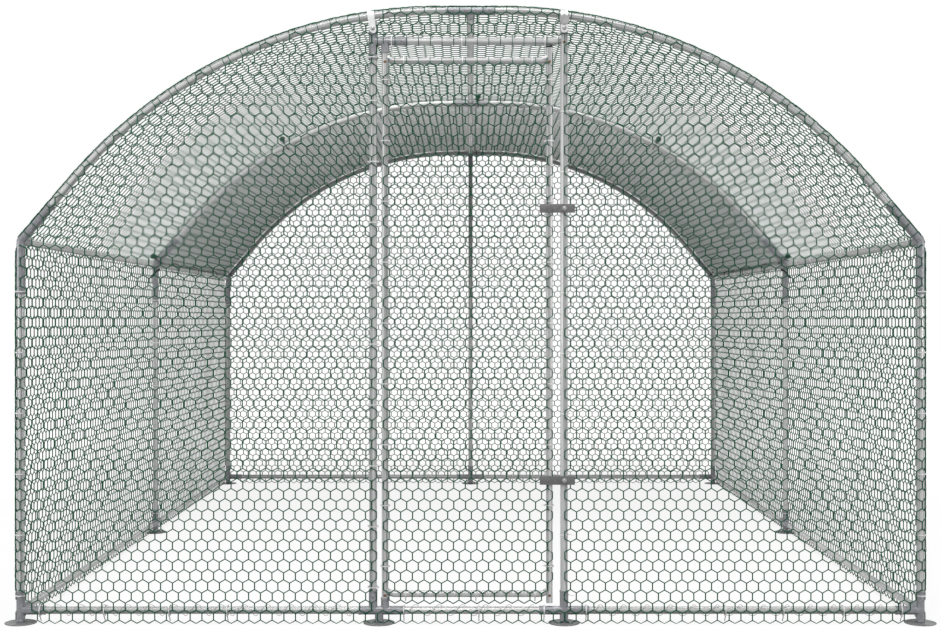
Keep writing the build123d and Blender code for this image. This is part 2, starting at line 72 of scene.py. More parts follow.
# Sizes of the tubes and of the sleeves that join them
tube_r = 0.0125
tube_wall = 0.001
tube_end = 0.0163
door_tube_r = 0.011
sleeve_r = 0.0143
socket_r = 0.0127
socket_floor = 0.0153
cup_r = 0.0135
cup_bore = 0.0112
cup_play = 0.001
rail_sleeve = 0.083
leg_sleeve = 0.067
eave_leg_sleeve = 0.177
eave_arch_sleeve = 0.160
door_post_sleeve = 0.070
header_sleeve_up = 0.033
header_sleeve_down = 0.063
header_sleeve_right = 0.075
base_sleeve_left = 0.048
base_sleeve_right = 0.066
base_cup_top = 0.086
header_cup = 0.039
foot_r = 0.0525
foot_gap = 0.004
foot_reach = base_z - foot_gap
hinge_foot_x = (hinge_x + pivot_x) / 2

# An arch: level at the ridge, bent, then straight down to the eave
ridge_flat = 0.100
eave_straight = 0.265
rise = ridge_z - eave_z
run = half_width - ridge_flat
arch_r = (run**2 + rise**2 - eave_straight**2) / (2 * rise)
arch_turn = asin(run / hypot(arch_r, eave_straight)) - atan2(eave_straight, arch_r)
arch_centre_z = ridge_z - arch_r
half_girth = ridge_flat + arch_r * arch_turn + eave_straight

right, left = (1, 0, 0), (-1, 0, 0)
up, down = (0, 0, 1), (0, 0, -1)
rearward, forward = (0, 1, 0), (0, -1, 0)


def arch_frame(girth):
    """Point of an arch at a distance round it from the ridge, its outward and its downward way."""
    girth = np.asarray(girth, float)
    sign = np.where(girth < 0, -1.0, 1.0)
    reach = np.abs(girth)
    level = np.minimum(reach, ridge_flat)
    slope = np.clip(reach - ridge_flat, 0, arch_r * arch_turn) / arch_r
    straight = np.maximum(reach - ridge_flat - arch_r * arch_turn, 0)
    x = level + arch_r * np.sin(slope) + straight * np.cos(slope)
    z = arch_centre_z + arch_r * np.cos(slope) - straight * np.sin(slope)
    outward = np.stack([sign * np.sin(slope), np.cos(slope)], -1)
    along = np.stack([sign * np.cos(slope), -np.sin(slope)], -1)
    return np.stack([sign * x, z], -1), outward, along


def arch_nearest(x, z):
    """Distance round an arch of its point nearest to x and z, and how far outside it they lie."""
    reach = np.abs(x)
    angle = np.arctan2(reach - ridge_flat, z - arch_centre_z)
    past_x = reach - ridge_flat - arch_r * sin(arch_turn)
    past_z = z - arch_centre_z - arch_r * cos(arch_turn)
    straight = past_x * cos(arch_turn) - past_z * sin(arch_turn)
    beside = past_x * sin(arch_turn) + past_z * cos(arch_turn)
    bent = np.hypot(reach - ridge_flat, z - arch_centre_z) - arch_r
    zones = [reach < ridge_flat, angle > arch_turn]
    girth = np.select(zones, [reach, half_girth - eave_straight + straight], ridge_flat + arch_r * angle)
    outside = np.select(zones, [z - ridge_z, beside], bent)
    return np.where(x < 0, -girth, girth), outside


def arch_height(x):
    """Height of an arch's axis at x, near the ridge."""
    return arch_centre_z + sqrt(arch_r**2 - max(abs(x) - ridge_flat, 0) ** 2)


# Materials


def add_node(tree, kind, inputs, **settings):
    """Add a node and give its outputs. An input is a value or another node's output."""
    made = tree.nodes.new(kind)
    for name, value in settings.items():
        setattr(made, name, value)
    for name, value in inputs.items():
        if isinstance(value, bpy.types.NodeSocket):
            tree.links.new(value, made.inputs[name])
        else:
            made.inputs[name].default_value = value
    return made.outputs


def shade(colour, share):
    return tuple(share * c for c in colour)


class Finish:
    """A Principled material, with short calls that add the nodes of its pattern."""

    def __init__(self, name, metallic=0.0, specular=0.5):
        self.material = bpy.data.materials.new(name)
        self.material.use_nodes = True
        self.tree = self.material.node_tree
        self.shader = self.tree.nodes["Principled BSDF"]
        self.shader.inputs["Metallic"].default_value = metallic
        self.shader.inputs["Specular IOR Level"].default_value = specular
        self.place = self.node("ShaderNodeTexCoord", "Object", {})

    def node(self, kind, output, inputs, **settings):
        """Add a node and give one of its outputs."""
        return add_node(self.tree, kind, inputs, **settings)[output]

    def math(self, operation, first, second=0.0):
        return self.node("ShaderNodeMath", 0, {0: first, 1: second}, operation=operation)

    def marked(self, name, scale):
        """Coordinates from a mesh attribute, with their own scale along each axis."""
        place = self.node("ShaderNodeAttribute", "Vector", {}, attribute_name=name)
        return self.node("ShaderNodeMapping", "Vector", {"Vector": place, "Scale": scale})

    def noise(self, scale, detail, vector=None):
        inputs = {"Vector": vector or self.place, "Scale": scale, "Detail": detail}
        return self.node("ShaderNodeTexNoise", "Fac", inputs)

    def cells(self, scale):
        """A random value in each cell of a Voronoi pattern."""
        colour = self.node("ShaderNodeTexVoronoi", "Color", {"Vector": self.place, "Scale": scale})
        return self.node("ShaderNodeSeparateColor", "Red", {"Color": colour})

    def spread(self, value, low, high, start=0.3, end=0.7):
        """A value from start to end, spread between low and high."""
        inputs = {"Value": value, "From Min": start, "From Max": end, "To Min": low, "To Max": high}
        return self.node("ShaderNodeMapRange", "Result", inputs)

    def uneven(self, scale, detail, low, high):
        """A value that a noise spreads between low and high."""
        return self.spread(self.noise(scale, detail), low, high)

    def mix(self, value, first, second):
        """Colour between two others, each given as three numbers or as a node's output."""
        ends = [c if isinstance(c, bpy.types.NodeSocket) else (*c, 1.0) for c in (first, second)]
        return self.node("ShaderNodeMix", 2, {0: value, 6: ends[0], 7: ends[1]}, data_type="RGBA")

    def clouds(self, first, second, scale, detail, most=1.0, start=0.3, end=0.7):
        """Colour that a noise takes from the first to the second, or to a part of the way."""
        return self.mix(self.spread(self.noise(scale, detail), 0.0, most, start, end), first, second)

    def done(self, colour, roughness, height, distance, strength=1.0):
        """Link colour, roughness and bump to the shader, and give the material."""
        inputs = {"Height": height, "Distance": distance, "Strength": strength}
        bump = self.node("ShaderNodeBump", "Normal", inputs)
        for name, output in (("Base Color", colour), ("Roughness", roughness), ("Normal", bump)):
            self.tree.links.new(output, self.shader.inputs[name])
        return self.material


def zinc(name, dull, bright, metallic, roughness, spangle=120.0, pits=0.00006):
    """Hot-dip or plated steel: crystal spangle, dull clouds and faint pitting."""
    made = Finish(name, metallic)
    body = made.mix(made.cells(spangle), dull, bright)
    worn = made.clouds(body, shade(dull, 0.80), 9.0, 5.0, 0.45, 0.50, 0.78)
    return made.done(worn, made.uneven(60.0, 4.0, *roughness), made.noise(420.0, 2.0), pits)


def reflection_banded_zinc(name, dark, bright, metallic, roughness):
    """Galvanised tube with painted reflection: light and dark bands and thin dark lines along it stand in for
    reflected light and shade; also fine scratches, spangle and clouds.
    """
    made = Finish(name, metallic)
    # Painted reflection: light and dark bands along the tube, in place of reflected light and shade
    painted_reflection_bands = made.noise(1.0, 1.0, made.marked("tube_pattern_place", (110.0, 110.0, 0.5)))
    painted_reflection_lines = made.noise(1.0, 0.0, made.marked("tube_pattern_place", (420.0, 420.0, 0.4)))
    scratches = made.noise(1.0, 2.0, made.marked("tube_pattern_place", (900.0, 900.0, 9.0)))
    body = made.mix(made.spread(painted_reflection_bands, 0.0, 1.0, 0.40, 0.54), dark, bright)
    # Painted reflection: thin darker lines along the tube
    reflection_lined = made.mix(made.spread(painted_reflection_lines, 0.0, 0.75, 0.60, 0.70), body, shade(dark, 0.55))
    grained = made.mix(made.spread(made.cells(120.0), 0.0, 0.15, 0.0, 1.0), reflection_lined, dark)
    worn = made.clouds(grained, dark, 9.0, 5.0, 0.30, 0.52, 0.80)
    return made.done(worn, made.spread(scratches, *roughness), scratches, 0.00005)


def moulded(name, dark, light, roughness, grain=300.0, depth=0.00008, specular=0.5):
    """Plastic with a fine moulded grain and uneven gloss."""
    made = Finish(name, 0.0, specular)
    body = made.clouds(dark, light, 26.0, 4.0)
    return made.done(body, made.uneven(90.0, 3.0, *roughness), made.noise(grain, 2.0), depth)


def coated_wire(name, dark, light, dusty):
    """Wire in a green plastic coat, with lighter rubbed stretches, and ridges where a pair is twisted."""
    made = Finish(name, 0.0, 0.10)
    rubbed = made.clouds(made.clouds(dark, light, 7.0, 4.0), dusty, 55.0, 3.0, 0.5, 0.55, 0.75)
    lay = {"Vector": made.marked("flat", (110.0, 96.0, 0.0)), "Scale": 1.0}
    ridges = made.node("ShaderNodeTexWave", "Fac", lay, bands_direction="DIAGONAL")
    pairs = made.node("ShaderNodeAttribute", "Fac", {}, attribute_name="twisted")
    grain = made.uneven(600.0, 2.0, 0.0, 0.06)
    height = made.math("ADD", made.math("MULTIPLY", ridges, pairs), grain)
    return made.done(rubbed, made.uneven(80.0, 2.0, 0.38, 0.62), height, 0.0009)


def woven(name, dark, light, thread=0.0022):
    """Coated cloth woven from flat tapes, which cross over and under each other, with painted shade where the
    tapes dip.
    """
    made = Finish(name, 0.0, 0.35)
    waves = []
    for axis in add_node(made.tree, "ShaderNodeSeparateXYZ", {0: made.place}):
        turn = made.math("MULTIPLY", axis, pi / thread)
        waves.append(made.math("ABSOLUTE", made.math("SINE", turn)))
    weave = made.math("MULTIPLY", made.math("MAXIMUM", waves[0], waves[2]), waves[1])
    base = made.clouds(dark, light, 3.5, 5.0)
    # Painted shade: the colour darkens where the tapes dip under each other
    shaded = made.mix(made.spread(weave, 0.35, 0.0, 0.0, 0.9), base, shade(dark, 0.6))
    made.shader.inputs["Subsurface Weight"].default_value = 1.0
    made.shader.inputs["Subsurface Radius"].default_value = (1.0, 1.0, 1.0)
    made.shader.inputs["Subsurface Scale"].default_value = 0.03
    return made.done(shaded, made.uneven(3.5, 5.0, 0.42, 0.62), weave, 0.00035, 0.8)


def heat_tint(name):
    """Weld metal: a grey bead with brown and straw colours from the heat."""
    made = Finish(name, 0.45)
    brown, straw, grey = (0.11, 0.05, 0.022), (0.24, 0.13, 0.055), (0.20, 0.17, 0.15)
    tinted = made.clouds(made.clouds(brown, straw, 240.0, 3.0), grey, 120.0, 2.0, 0.6, 0.5, 0.75)
    return made.done(tinted, made.uneven(300.0, 2.0, 0.4, 0.7), made.noise(500.0, 2.0), 0.0004)


# Frame and door tubes carry painted reflection: light and dark bands and dark lines along them
tube_finish = reflection_banded_zinc("tube_zinc", (0.49, 0.495, 0.50), (0.78, 0.78, 0.775), 0.10, (0.18, 0.30))
door_finish = reflection_banded_zinc("door_zinc", (0.48, 0.48, 0.485), (0.79, 0.79, 0.785), 0.10, (0.18, 0.30))
sleeve_finish = zinc(
    "sleeve_zinc", (0.24, 0.243, 0.257), (0.34, 0.344, 0.364), 0.18, (0.28, 0.42), 160.0, 0.00015)
screw_finish = zinc("screw_zinc", (0.20, 0.20, 0.21), (0.32, 0.32, 0.33), 0.60, (0.30, 0.50), 300.0, 0.00003)
foot_finish = zinc("foot_zinc", (0.16, 0.163, 0.166), (0.27, 0.273, 0.276), 0.20, (0.40, 0.60), 140.0)
latch_finish = zinc("latch_steel", (0.13, 0.13, 0.131), (0.19, 0.19, 0.191), 0.25, (0.35, 0.55), 200.0)
strap_finish = zinc("strap_zinc", (0.78, 0.78, 0.78), (0.90, 0.90, 0.90), 0.12, (0.35, 0.5), 150.0)
plate_finish = zinc("plate_zinc", (0.34, 0.34, 0.335), (0.42, 0.42, 0.415), 0.20, (0.45, 0.6), 150.0)
bolt_finish = zinc("bolt_zinc", (0.30, 0.30, 0.30), (0.42, 0.42, 0.42), 0.50, (0.22, 0.38), 400.0, 0.00003)
lacing_finish = zinc(
    "lacing_zinc", (0.22, 0.225, 0.23), (0.34, 0.345, 0.35), 0.30, (0.30, 0.45), 300.0, 0.00003)
cap_finish = moulded(
    "cap_plastic", (0.010, 0.010, 0.011), (0.020, 0.020, 0.021), (0.45, 0.60), specular=0.15)
toggle_finish = moulded("toggle_plastic", (0.010, 0.010, 0.011), (0.022, 0.022, 0.023), (0.25, 0.42))
elastic_finish = moulded(
    "elastic_cord", (0.012, 0.012, 0.013), (0.030, 0.030, 0.031), (0.6, 0.8), 900.0, 0.0003)
tie_finish = moulded("tie_nylon", (0.84, 0.845, 0.84), (0.93, 0.93, 0.925), (0.32, 0.48))
net_finish = coated_wire("net_coat", (0.007, 0.090, 0.043), (0.013, 0.122, 0.062), (0.032, 0.150, 0.092))
cover_finish = woven("cover_cloth", (0.72, 0.77, 0.74), (0.79, 0.84, 0.81))
weld_finish = heat_tint("weld_tint")

# Meshes


class Solid:
    """Points and faces of one closed mesh, or of several in one piece.

    Each point has a mark, its place across and along a tube, which the tube's finish reads for its painted
    reflection bands and its scratches.
    """

    def __init__(self):
        self.points = []
        self.faces = []
        self.marks = []

    def add(self, points, faces, marks=None):
        first = len(self.points)
        self.points.extend(tuple(float(c) for c in point) for point in points)
        self.faces.extend(tuple(first + i for i in face) for face in faces)
        self.marks.extend(marks or [(0.0, 0.0, 0.0)] * len(points))
        return self


def basis(axis):
    """Unit axis and two unit ways square to it."""
    axis = np.asarray(axis, float) / np.linalg.norm(axis)
    side = np.cross(up if abs(axis[2]) < 0.9 else right, axis)
    side /= np.linalg.norm(side)
    return axis, side, np.cross(axis, side)


def circle(radius, count):
    """Points of a circle."""
    turns = [2 * pi * i / count for i in range(count)]
    return [(radius * cos(t), radius * sin(t)) for t in turns]


def band(rows, count, closed=False):
    """Faces between rows of points, each row a closed ring of so many points."""
    faces = []
    for row in range(rows if closed else rows - 1):
        near, far = row * count, (row + 1) % rows * count
        for i in range(count):
            j = (i + 1) % count
            faces.append((near + i, near + j, far + j, far + i))
    return faces


def capped(rows, count):
    """Faces between rows of points, and over the first and the last row."""
    last = (rows - 1) * count
    return [*band(rows, count), tuple(range(count)), tuple(range(last, last + count))]


def path_frames(path):
    """Points of a path with two sideways ways at each, turned no more than the path turns."""
    path = np.asarray(path, float)
    tangents = np.gradient(path, axis=0)
    tangents /= np.linalg.norm(tangents, axis=1, keepdims=True)
    side = basis(tangents[0])[1]
    ways = []
    for tangent in tangents:
        side = side - tangent * np.dot(side, tangent)
        side /= np.linalg.norm(side)
        ways.append((side, np.cross(tangent, side)))
    return path, ways


mark_shift = (7.0, 3.0, 5.0)


def add_sweep(solid, path, section, bore=None):
    """Sweep along a path. section(i) gives the outline at point i, and bore(i) an inner one.

    The shift gives each tube its own part of the pattern of painted reflection bands and scratches.
    """
    path, ways = path_frames(path)
    lengths = np.linalg.norm(np.diff(path, axis=0), axis=1)
    reached = path[0] @ mark_shift + np.concatenate([[0.0], np.cumsum(lengths)])
    points = []
    marks = []
    for outline in (section, bore) if bore else (section,):
        for i, (point, (side, over)) in enumerate(zip(path, ways)):
            points += [point + a * side + b * over for a, b in outline(i)]
            marks += [(a, b, reached[i]) for a, b in outline(i)]
    steps, count = len(path), len(section(0))
    if bore is None:
        return solid.add(points, capped(steps, count), marks)
    inner = steps * count
    faces = band(steps, count)
    faces += [tuple(inner + i for i in face[::-1]) for face in faces]
    for row in (0, inner - count):
        for i in range(count):
            j = (i + 1) % count
            faces.append((row + i, row + j, inner + row + j, inner + row + i))
    return solid.add(points, faces, marks)


def add_tube(solid, path, radius=tube_r, wall=tube_wall, count=24):
    """Round tube along a path, or a bar where the wall is None."""
    outer = circle(radius, count)
    if wall is None:
        return add_sweep(solid, path, lambda i: outer)
    inner = circle(radius - wall, count)
    return add_sweep(solid, path, lambda i: outer, lambda i: inner)


def add_turned(solid, origin, axis, profile, count=24):
    """Turned solid: a profile of radii and distances along the axis, closed at its ends."""
    axis, side, over = basis(axis)
    points = []
    rings = []
    for radius, height in profile:
        ring = circle(radius, count) if radius else [(0, 0)]
        first = len(points)
        rings.append([first + i % len(ring) for i in range(count)])
        points += [np.asarray(origin) + height * axis + a * side + b * over for a, b in ring]
    faces = []
    for near, far in zip(rings, rings[1:]):
        for i in range(count):
            j = (i + 1) % count
            faces.append(tuple(dict.fromkeys((near[i], near[j], far[j], far[i]))))
    return solid.add(points, faces)


def bevelled_block(sizes, bevel, segments):
    """Points and faces of a block with rounded edges, about the origin."""
    mesh = bmesh.new()
    bmesh.ops.create_cube(mesh, size=1.0)
    bmesh.ops.scale(mesh, vec=sizes, verts=mesh.verts)
    bmesh.ops.bevel(mesh, geom=mesh.edges[:], offset=bevel, segments=segments, affect="EDGES", profile=0.5)
    mesh.verts.index_update()
    points = np.array([tuple(v.co) for v in mesh.verts])
    faces = [tuple(v.index for v in f.verts) for f in mesh.faces]
    mesh.free()
    return points, faces


def add_block(solid, block, centre, ways):
    """Put a block in a solid, with its axes along three ways."""
    points, faces = block
    return solid.add(np.asarray(centre) + points @ np.asarray(ways, float), faces)


def add_layer(mesh, name, kind, domain, values):
    """Give a mesh an attribute that its finish reads."""
    layer = mesh.attributes.new(name, kind, domain)
    field = "vector" if kind == "FLOAT_VECTOR" else "value"
    layer.data.foreach_set(field, np.array(values, np.float32).ravel())


def mesh_of(name, solid):
    """Mesh of a solid, with its faces turned outwards."""
    mesh = bpy.data.meshes.new(name)
    mesh.from_pydata(solid.points, [], solid.faces)
    edit = bmesh.new()
    edit.from_mesh(mesh)
    bmesh.ops.recalc_face_normals(edit, faces=edit.faces)
    edit.to_mesh(mesh)
    edit.free()
    add_layer(mesh, "tube_pattern_place", "FLOAT_VECTOR", "POINT", solid.marks)
    return mesh


def united(name, solids):
    """Mesh of several solids that overlap, joined to one skin."""
    spare = bpy.data.collections.new(name + "_parts")
    bpy.context.scene.collection.children.link(spare)
    made = []
    for i, solid in enumerate(solids):
        made.append(bpy.data.objects.new(f"{name}_{i}", mesh_of(f"{name}_{i}", solid)))
        spare.objects.link(made[i])
    for other in made[1:]:
        join = made[0].modifiers.new("join", "BOOLEAN")
        join.operation = "UNION"
        join.solver = "EXACT"
        join.object = other
    graph = bpy.context.evaluated_depsgraph_get()
    mesh = bpy.data.meshes.new_from_object(made[0].evaluated_get(graph))
    mesh.name = name
    for part in made:
        bpy.data.objects.remove(part)
    bpy.data.collections.remove(spare)
    return mesh


def joined(name, meshes):
    """One mesh of several that lie apart."""
    edit = bmesh.new()
    for mesh in meshes:
        edit.from_mesh(mesh)
        bpy.data.meshes.remove(mesh)
    mesh = bpy.data.meshes.new(name)
    edit.to_mesh(mesh)
    edit.free()
    return mesh


def show(name, shape, finish, body="frame", replaces=None, sharp=32):
    """Put a solid or a mesh in the scene, as a piece that rides on a body."""
    mesh = mesh_of(name, shape) if isinstance(shape, Solid) else shape
    mesh.shade_smooth()
    mesh.set_sharp_from_angle(angle=radians(sharp))
    mesh.materials.append(finish)
    piece = bpy.data.objects.new(name, mesh)
    bpy.context.scene.collection.objects.link(piece)
    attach(piece, body)
    if replaces:
        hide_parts(replaces)
    return piece


# Tubes of the frame


def straight_path(node, steps=5):
    """Points along the axis of a straight tube, from its CAD node's box."""
    low, high = (np.array(corner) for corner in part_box(node))
    longest = np.argmax(high - low)
    ends = np.array([(low + high) / 2] * 2)
    ends[:, longest] = low[longest], high[longest]
    return [ends[0] + (ends[1] - ends[0]) * i / steps for i in range(steps + 1)]


def show_tube(node, tube, finish=tube_finish, body="frame"):
    show(f"{node}_tube", tube, finish, body, node)


bays = ("front", "rear")
straight_nodes = [f"leg_{station}_{side}" for station in stations for side in sides]
straight_nodes += [f"ridge_rail_{bay}" for bay in bays]
for side in sides:
    straight_nodes += [f"{kind}_rail_{side}_{bay}" for kind in ("eave", "base") for bay in bays]
    straight_nodes += [f"base_rail_{end}_{side}" for end in ("front", "back")]
for node in [*straight_nodes, "door_sill", "hinge_post", "latch_post", "back_post"]:
    show_tube(node, add_tube(Solid(), straight_path(node)))

arch_steps = 56
for station, y in stations.items():
    for side, sign in sides.items():
        girths = sign * np.linspace(tube_end, half_girth - tube_end, arch_steps)
        tube = add_tube(Solid(), [(x, y, z) for x, z in arch_frame(girths)[0]])
        show_tube(f"arch_{station}_{side}", tube)

weld_bite = 0.007
press_reach = 0.024
press_widen = 0.17
press_thin = 0.30


def pressed_tube(z, start, end, radius, pressed, count=24, steps=44):
    """Tube across the door wall whose ends are pressed flat and raised for a weld. pressed says which."""
    shares = 0.5 - 0.5 * np.cos(np.linspace(0, pi, steps))
    path = [(start + (end - start) * share, front_y, z) for share in shares]

    def outline(i, r):
        ends = (shares[i] * (end - start), (1 - shares[i]) * (end - start))
        flat = max(max(0.0, 1.0 - d / press_reach) ** 2 for d, on in zip(ends, pressed) if on)
        deep, tall = r * (1 - press_thin * flat), r * (1 + press_widen * flat)
        return [(deep * a, tall * b + radius * flat) for a, b in circle(1.0, count)]

    return add_sweep(Solid(), path, lambda i: outline(i, radius), lambda i: outline(i, radius - tube_wall))


header = pressed_tube(header_z, pivot_x + tube_end, latch_x - weld_bite, tube_r, (False, True))
show_tube("door_header", header)

# Sleeve connectors, with a rolled lip at each end
lip = 0.0008
lip_steps = [(0.007, 0), (0.006, lip), (0.0012, lip), (0.0003, lip / 2), (0, -0.0004)]
mouth = 0.0004
sleeve_sides = 28
sleeve_bend = 0.030
bend_clear = 0.004
bend_steps = 9
screw_seat = 0.020
screw_profile = [(0, -0.002), (0.0038, -0.0005), (0.0039, 0.0004), (0.0031, 0.0008), (0.0030, 0.0017)]
screw_profile += [(0.0022, 0.0023), (0.0010, 0.0024), (0.0008, 0.0016), (0, 0.0016)]
screws = Solid()


def sleeve(origin, way, reach, radius=sleeve_r, bore=socket_r, floor=socket_floor):
    """Sleeve with a socket, from a connector's centre along a way."""
    profile = [(0, 0), (radius, 0), *[(radius + out, reach - back) for back, out in lip_steps]]
    profile += [(bore, reach - mouth), (bore, floor), (0, floor)]
    return add_turned(Solid(), origin, way, profile, sleeve_sides)


def bent_sleeve(corner, arms):
    """Sleeve of two arms, bent at a corner."""
    first, second = (np.array(way, float) for way, reach, side in arms)
    tangent = sleeve_bend * tan((pi - acos(np.dot(first, second))) / 2)
    legs = []
    for way, reach, side in arms:
        stops = [(reach - back, sleeve_r + out) for back, out in lip_steps[::-1]]
        stops += [((reach + tangent) / 2, sleeve_r), (tangent + bend_clear, sleeve_r)]
        legs.append([(np.add(corner, np.multiply(way, s)), r) for s, r in stops])
    bow = []
    for t in np.linspace(0, 1, bend_steps):
        bow.append((corner + tangent * ((1 - t) ** 2 * first + t**2 * second), sleeve_r))
    stops = [*legs[0], *bow, *legs[1][::-1]]
    outlines = [circle(r, sleeve_sides) for place, r in stops]
    hollow = circle(socket_r, sleeve_sides)
    return add_sweep(Solid(), [place for place, r in stops], lambda i: outlines[i], lambda i: hollow)


def add_screw(place, side):
    """Self-drilling screw with a flanged pan head, on one side of a sleeve at a place on its axis."""
    add_turned(screws, np.add(place, np.multiply(side, sleeve_r)), side, screw_profile, 12)


def connector(name, centre, arms, bent):
    """Mesh of sleeves from one centre. An arm is a way, a reach and the side that its screw is on.

    The first two arms of a bent connector are one sleeve.
    """
    parts = [sleeve(centre, way, reach) for way, reach, side in (arms[2:] if bent else arms)]
    if bent:
        parts.append(bent_sleeve(centre, arms[:2]))
    for way, reach, side in arms:
        if side:
            add_screw(np.add(centre, np.multiply(way, reach - screw_seat)), side)
    return united(name, parts)


def show_sleeves(node, places, bent=False):
    """Show a CAD node's connectors as one piece. A place is a connector's centre and its arms."""
    name = node.split("_connector")[0] + "_sleeves"
    meshes = [connector(name, centre, arms, bent) for centre, arms in places]
    mesh = joined(name, meshes) if len(meshes) > 1 else meshes[0]
    show(name, mesh, sleeve_finish, replaces=node)


def rail_arms(station, screw_side):
    """Arms along the run, towards the stations next to this one."""
    ways = {"front": [rearward], "mid": [rearward, forward], "back": [forward]}
    return [(way, rail_sleeve, screw_side) for way in ways[station]]


def post_arms(screw_side, *ways):
    """Arms for a post, its foot and the rails beside it."""
    rails = [(way, rail_sleeve, screw_side) for way in ways]
    return [(up, leg_sleeve, screw_side), (down, foot_reach, None), *rails]


end_ways = {"front": forward, "mid": None, "back": rearward}
places = []
for station, y in stations.items():
    outer = end_ways[station] or down
    arms = [(left, rail_sleeve, outer), (right, rail_sleeve, outer), *rail_arms(station, down)]
    if station == "back":
        arms.append((down, rail_sleeve, outer))
    places.append(((0, y, ridge_z), arms))
show_sleeves("ridge_connectors", places)

places = []
for station, y in stations.items():
    for sign in sides.values():
        outer = (sign, 0, 0)
        arch_way = (-sign * cos(arch_turn), 0, sin(arch_turn))
        under_arch = (-sign * sin(arch_turn), 0, -cos(arch_turn))
        arms = [(down, eave_leg_sleeve, end_ways[station] or outer)]
        arms.append((arch_way, eave_arch_sleeve, end_ways[station] or under_arch))
        places.append(((sign * half_width, y, eave_z), arms + rail_arms(station, outer)))
show_sleeves("eave_connectors", places, bent=True)

places = []
for station in ("front", "back"):
    for sign in sides.values():
        arms = post_arms(end_ways[station], (-sign, 0, 0)) + rail_arms(station, (sign, 0, 0))
        places.append(((sign * half_width, stations[station], base_z), arms))
show_sleeves("base_corner_connectors", places)

places = []
for sign in sides.values():
    places.append(((sign * half_width, mid_y, base_z), post_arms((sign, 0, 0), rearward, forward)))
show_sleeves("base_side_connectors", places)
show_sleeves("base_back_connector", [((0, back_y, base_z), post_arms(rearward, left, right))])
show_sleeves("latch_base_connector", [((latch_x, front_y, base_z), post_arms(forward, left, right))])

# Hinge connectors: a post sleeve and a rail sleeve, with the cup for the stile between them
stile_low, stile_high = (corner.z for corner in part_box("door_hinge_stile"))
span = pivot_x - hinge_x
link = [(0, 0), (sleeve_r, 0), (sleeve_r, span), (0, span)]
post_foot, cup_foot = (hinge_x, front_y, base_z), (pivot_x, front_y, base_z)
parts = [
    sleeve(post_foot, left, base_sleeve_left),
    sleeve(cup_foot, right, base_sleeve_right),
    add_turned(Solid(), post_foot, right, link, sleeve_sides),
    sleeve(post_foot, up, door_post_sleeve),
    sleeve((hinge_foot_x, front_y, base_z), down, foot_reach),
    sleeve(cup_foot, up, base_cup_top - base_z, cup_r, cup_bore, stile_low - cup_play - base_z),
]
add_screw((hinge_x, front_y, base_z + door_post_sleeve - screw_seat), forward)
add_screw((hinge_x - base_sleeve_left + screw_seat, front_y, base_z), forward)
add_screw((pivot_x + base_sleeve_right - screw_seat, front_y, base_z), forward)
mesh = united("hinge_base_sleeves", parts)
show("hinge_base_sleeves", mesh, sleeve_finish, replaces="hinge_base_connector")

post_head, cup_head = (hinge_x, front_y, header_z), (pivot_x, front_y, header_z)
rim = [(0, 0), (0.001, lip), (0.006, lip), (0.007, 0)]
collar = [(sleeve_r + out, -header_sleeve_down + back) for back, out in rim]
collar += [(sleeve_r + out, header_sleeve_up - back) for back, out in rim[::-1]]
collar = [(0, -header_sleeve_down), *collar, (0, header_sleeve_up)]
parts = [
    add_turned(Solid(), post_head, up, collar, sleeve_sides),
    sleeve(cup_head, right, header_sleeve_right),
    add_turned(Solid(), post_head, right, link, sleeve_sides),
    sleeve(cup_head, down, header_cup, cup_r, cup_bore, header_z - stile_high - cup_play),
]
add_screw((hinge_x, front_y, header_z - header_sleeve_down + screw_seat), forward)
add_screw((pivot_x + header_sleeve_right - screw_seat, front_y, header_z), forward)
mesh = united("hinge_header_sleeves", parts)
show("hinge_header_sleeves", mesh, sleeve_finish, replaces="hinge_header_connector")
show("connector_screws", screws, screw_finish)

# Feet: a plate with a rolled rim, welded to its stem
foot_places = [(sign * half_width, y) for sign in sides.values() for y in stations.values()]
foot_places += [(0, back_y), (hinge_foot_x, front_y), (latch_x, front_y)]
stem_top = base_z - tube_end
rim = [(0.002, 0), (0.0005, 0.0006), (0, 0.0018), (0.0006, 0.0031), (0.0022, 0.0036), (0.0045, 0.0030)]
stem = [(0.0195, 0.0030), (0.0165, 0.0034), (0.0135, 0.0036), (0.0124, 0.0039), (0.0124, stem_top)]
foot_profile = [(0, 0), *[(foot_r - inset, height) for inset, height in rim], *stem, (0, stem_top)]
feet = Solid()
for x, y in foot_places:
    add_turned(feet, (x, y, 0), up, foot_profile, 48)
show("feet", feet, foot_finish, replaces="foot_plates")

# Door
for node in ("door_hinge_stile", "door_latch_stile"):
    tube = add_tube(Solid(), straight_path(node), door_tube_r)
    show_tube(node, tube, door_finish, "door")
for node, z in (("door_top_rail", door_top_z), ("door_bottom_rail", door_bottom_z)):
    tube = pressed_tube(z, pivot_x + weld_bite, stile_x - weld_bite, door_tube_r, (True, True))
    show_tube(node, tube, door_finish, "door")

cap_low, cap_high = (corner.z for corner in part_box("stile_cap"))
cap_wall = 0.0008
cap_r = door_tube_r + cap_wall
cap_shape = [(0, 0), (1, 0), (1, 0.55), (0.9, 0.82), (0.6, 0.96), (0, 1)]
cap_profile = [(r * cap_r, h * (cap_high - cap_low)) for r, h in cap_shape]
cap = add_turned(Solid(), (stile_x, front_y, cap_low), up, cap_profile)
show("stile_cap_plug", cap, cap_finish, "door", "stile_cap")

# Welds: a lumpy bead where a pressed end meets its upright
bead_profile = [(0, -0.001), (0.0054, -0.0006), (0.0050, 0.0008), (0.0034, 0.0019), (0, 0.0023)]
bead_sink = 0.0012
bead_drop = 0.004


def beads(radius, places):
    """Weld beads on the front of tubes, a little under the axes of the rails at the places."""
    made = Solid()
    for x, z in places:
        add_turned(made, (x, front_y - radius + bead_sink, z - bead_drop), forward, bead_profile, 14)
    return made


door_corners = [(x, z) for x in (pivot_x, stile_x) for z in (door_top_z, door_bottom_z)]
show("door_welds", beads(door_tube_r, door_corners), weld_finish, "door")
show("header_welds", beads(tube_r, [(latch_x, header_z)]), weld_finish)

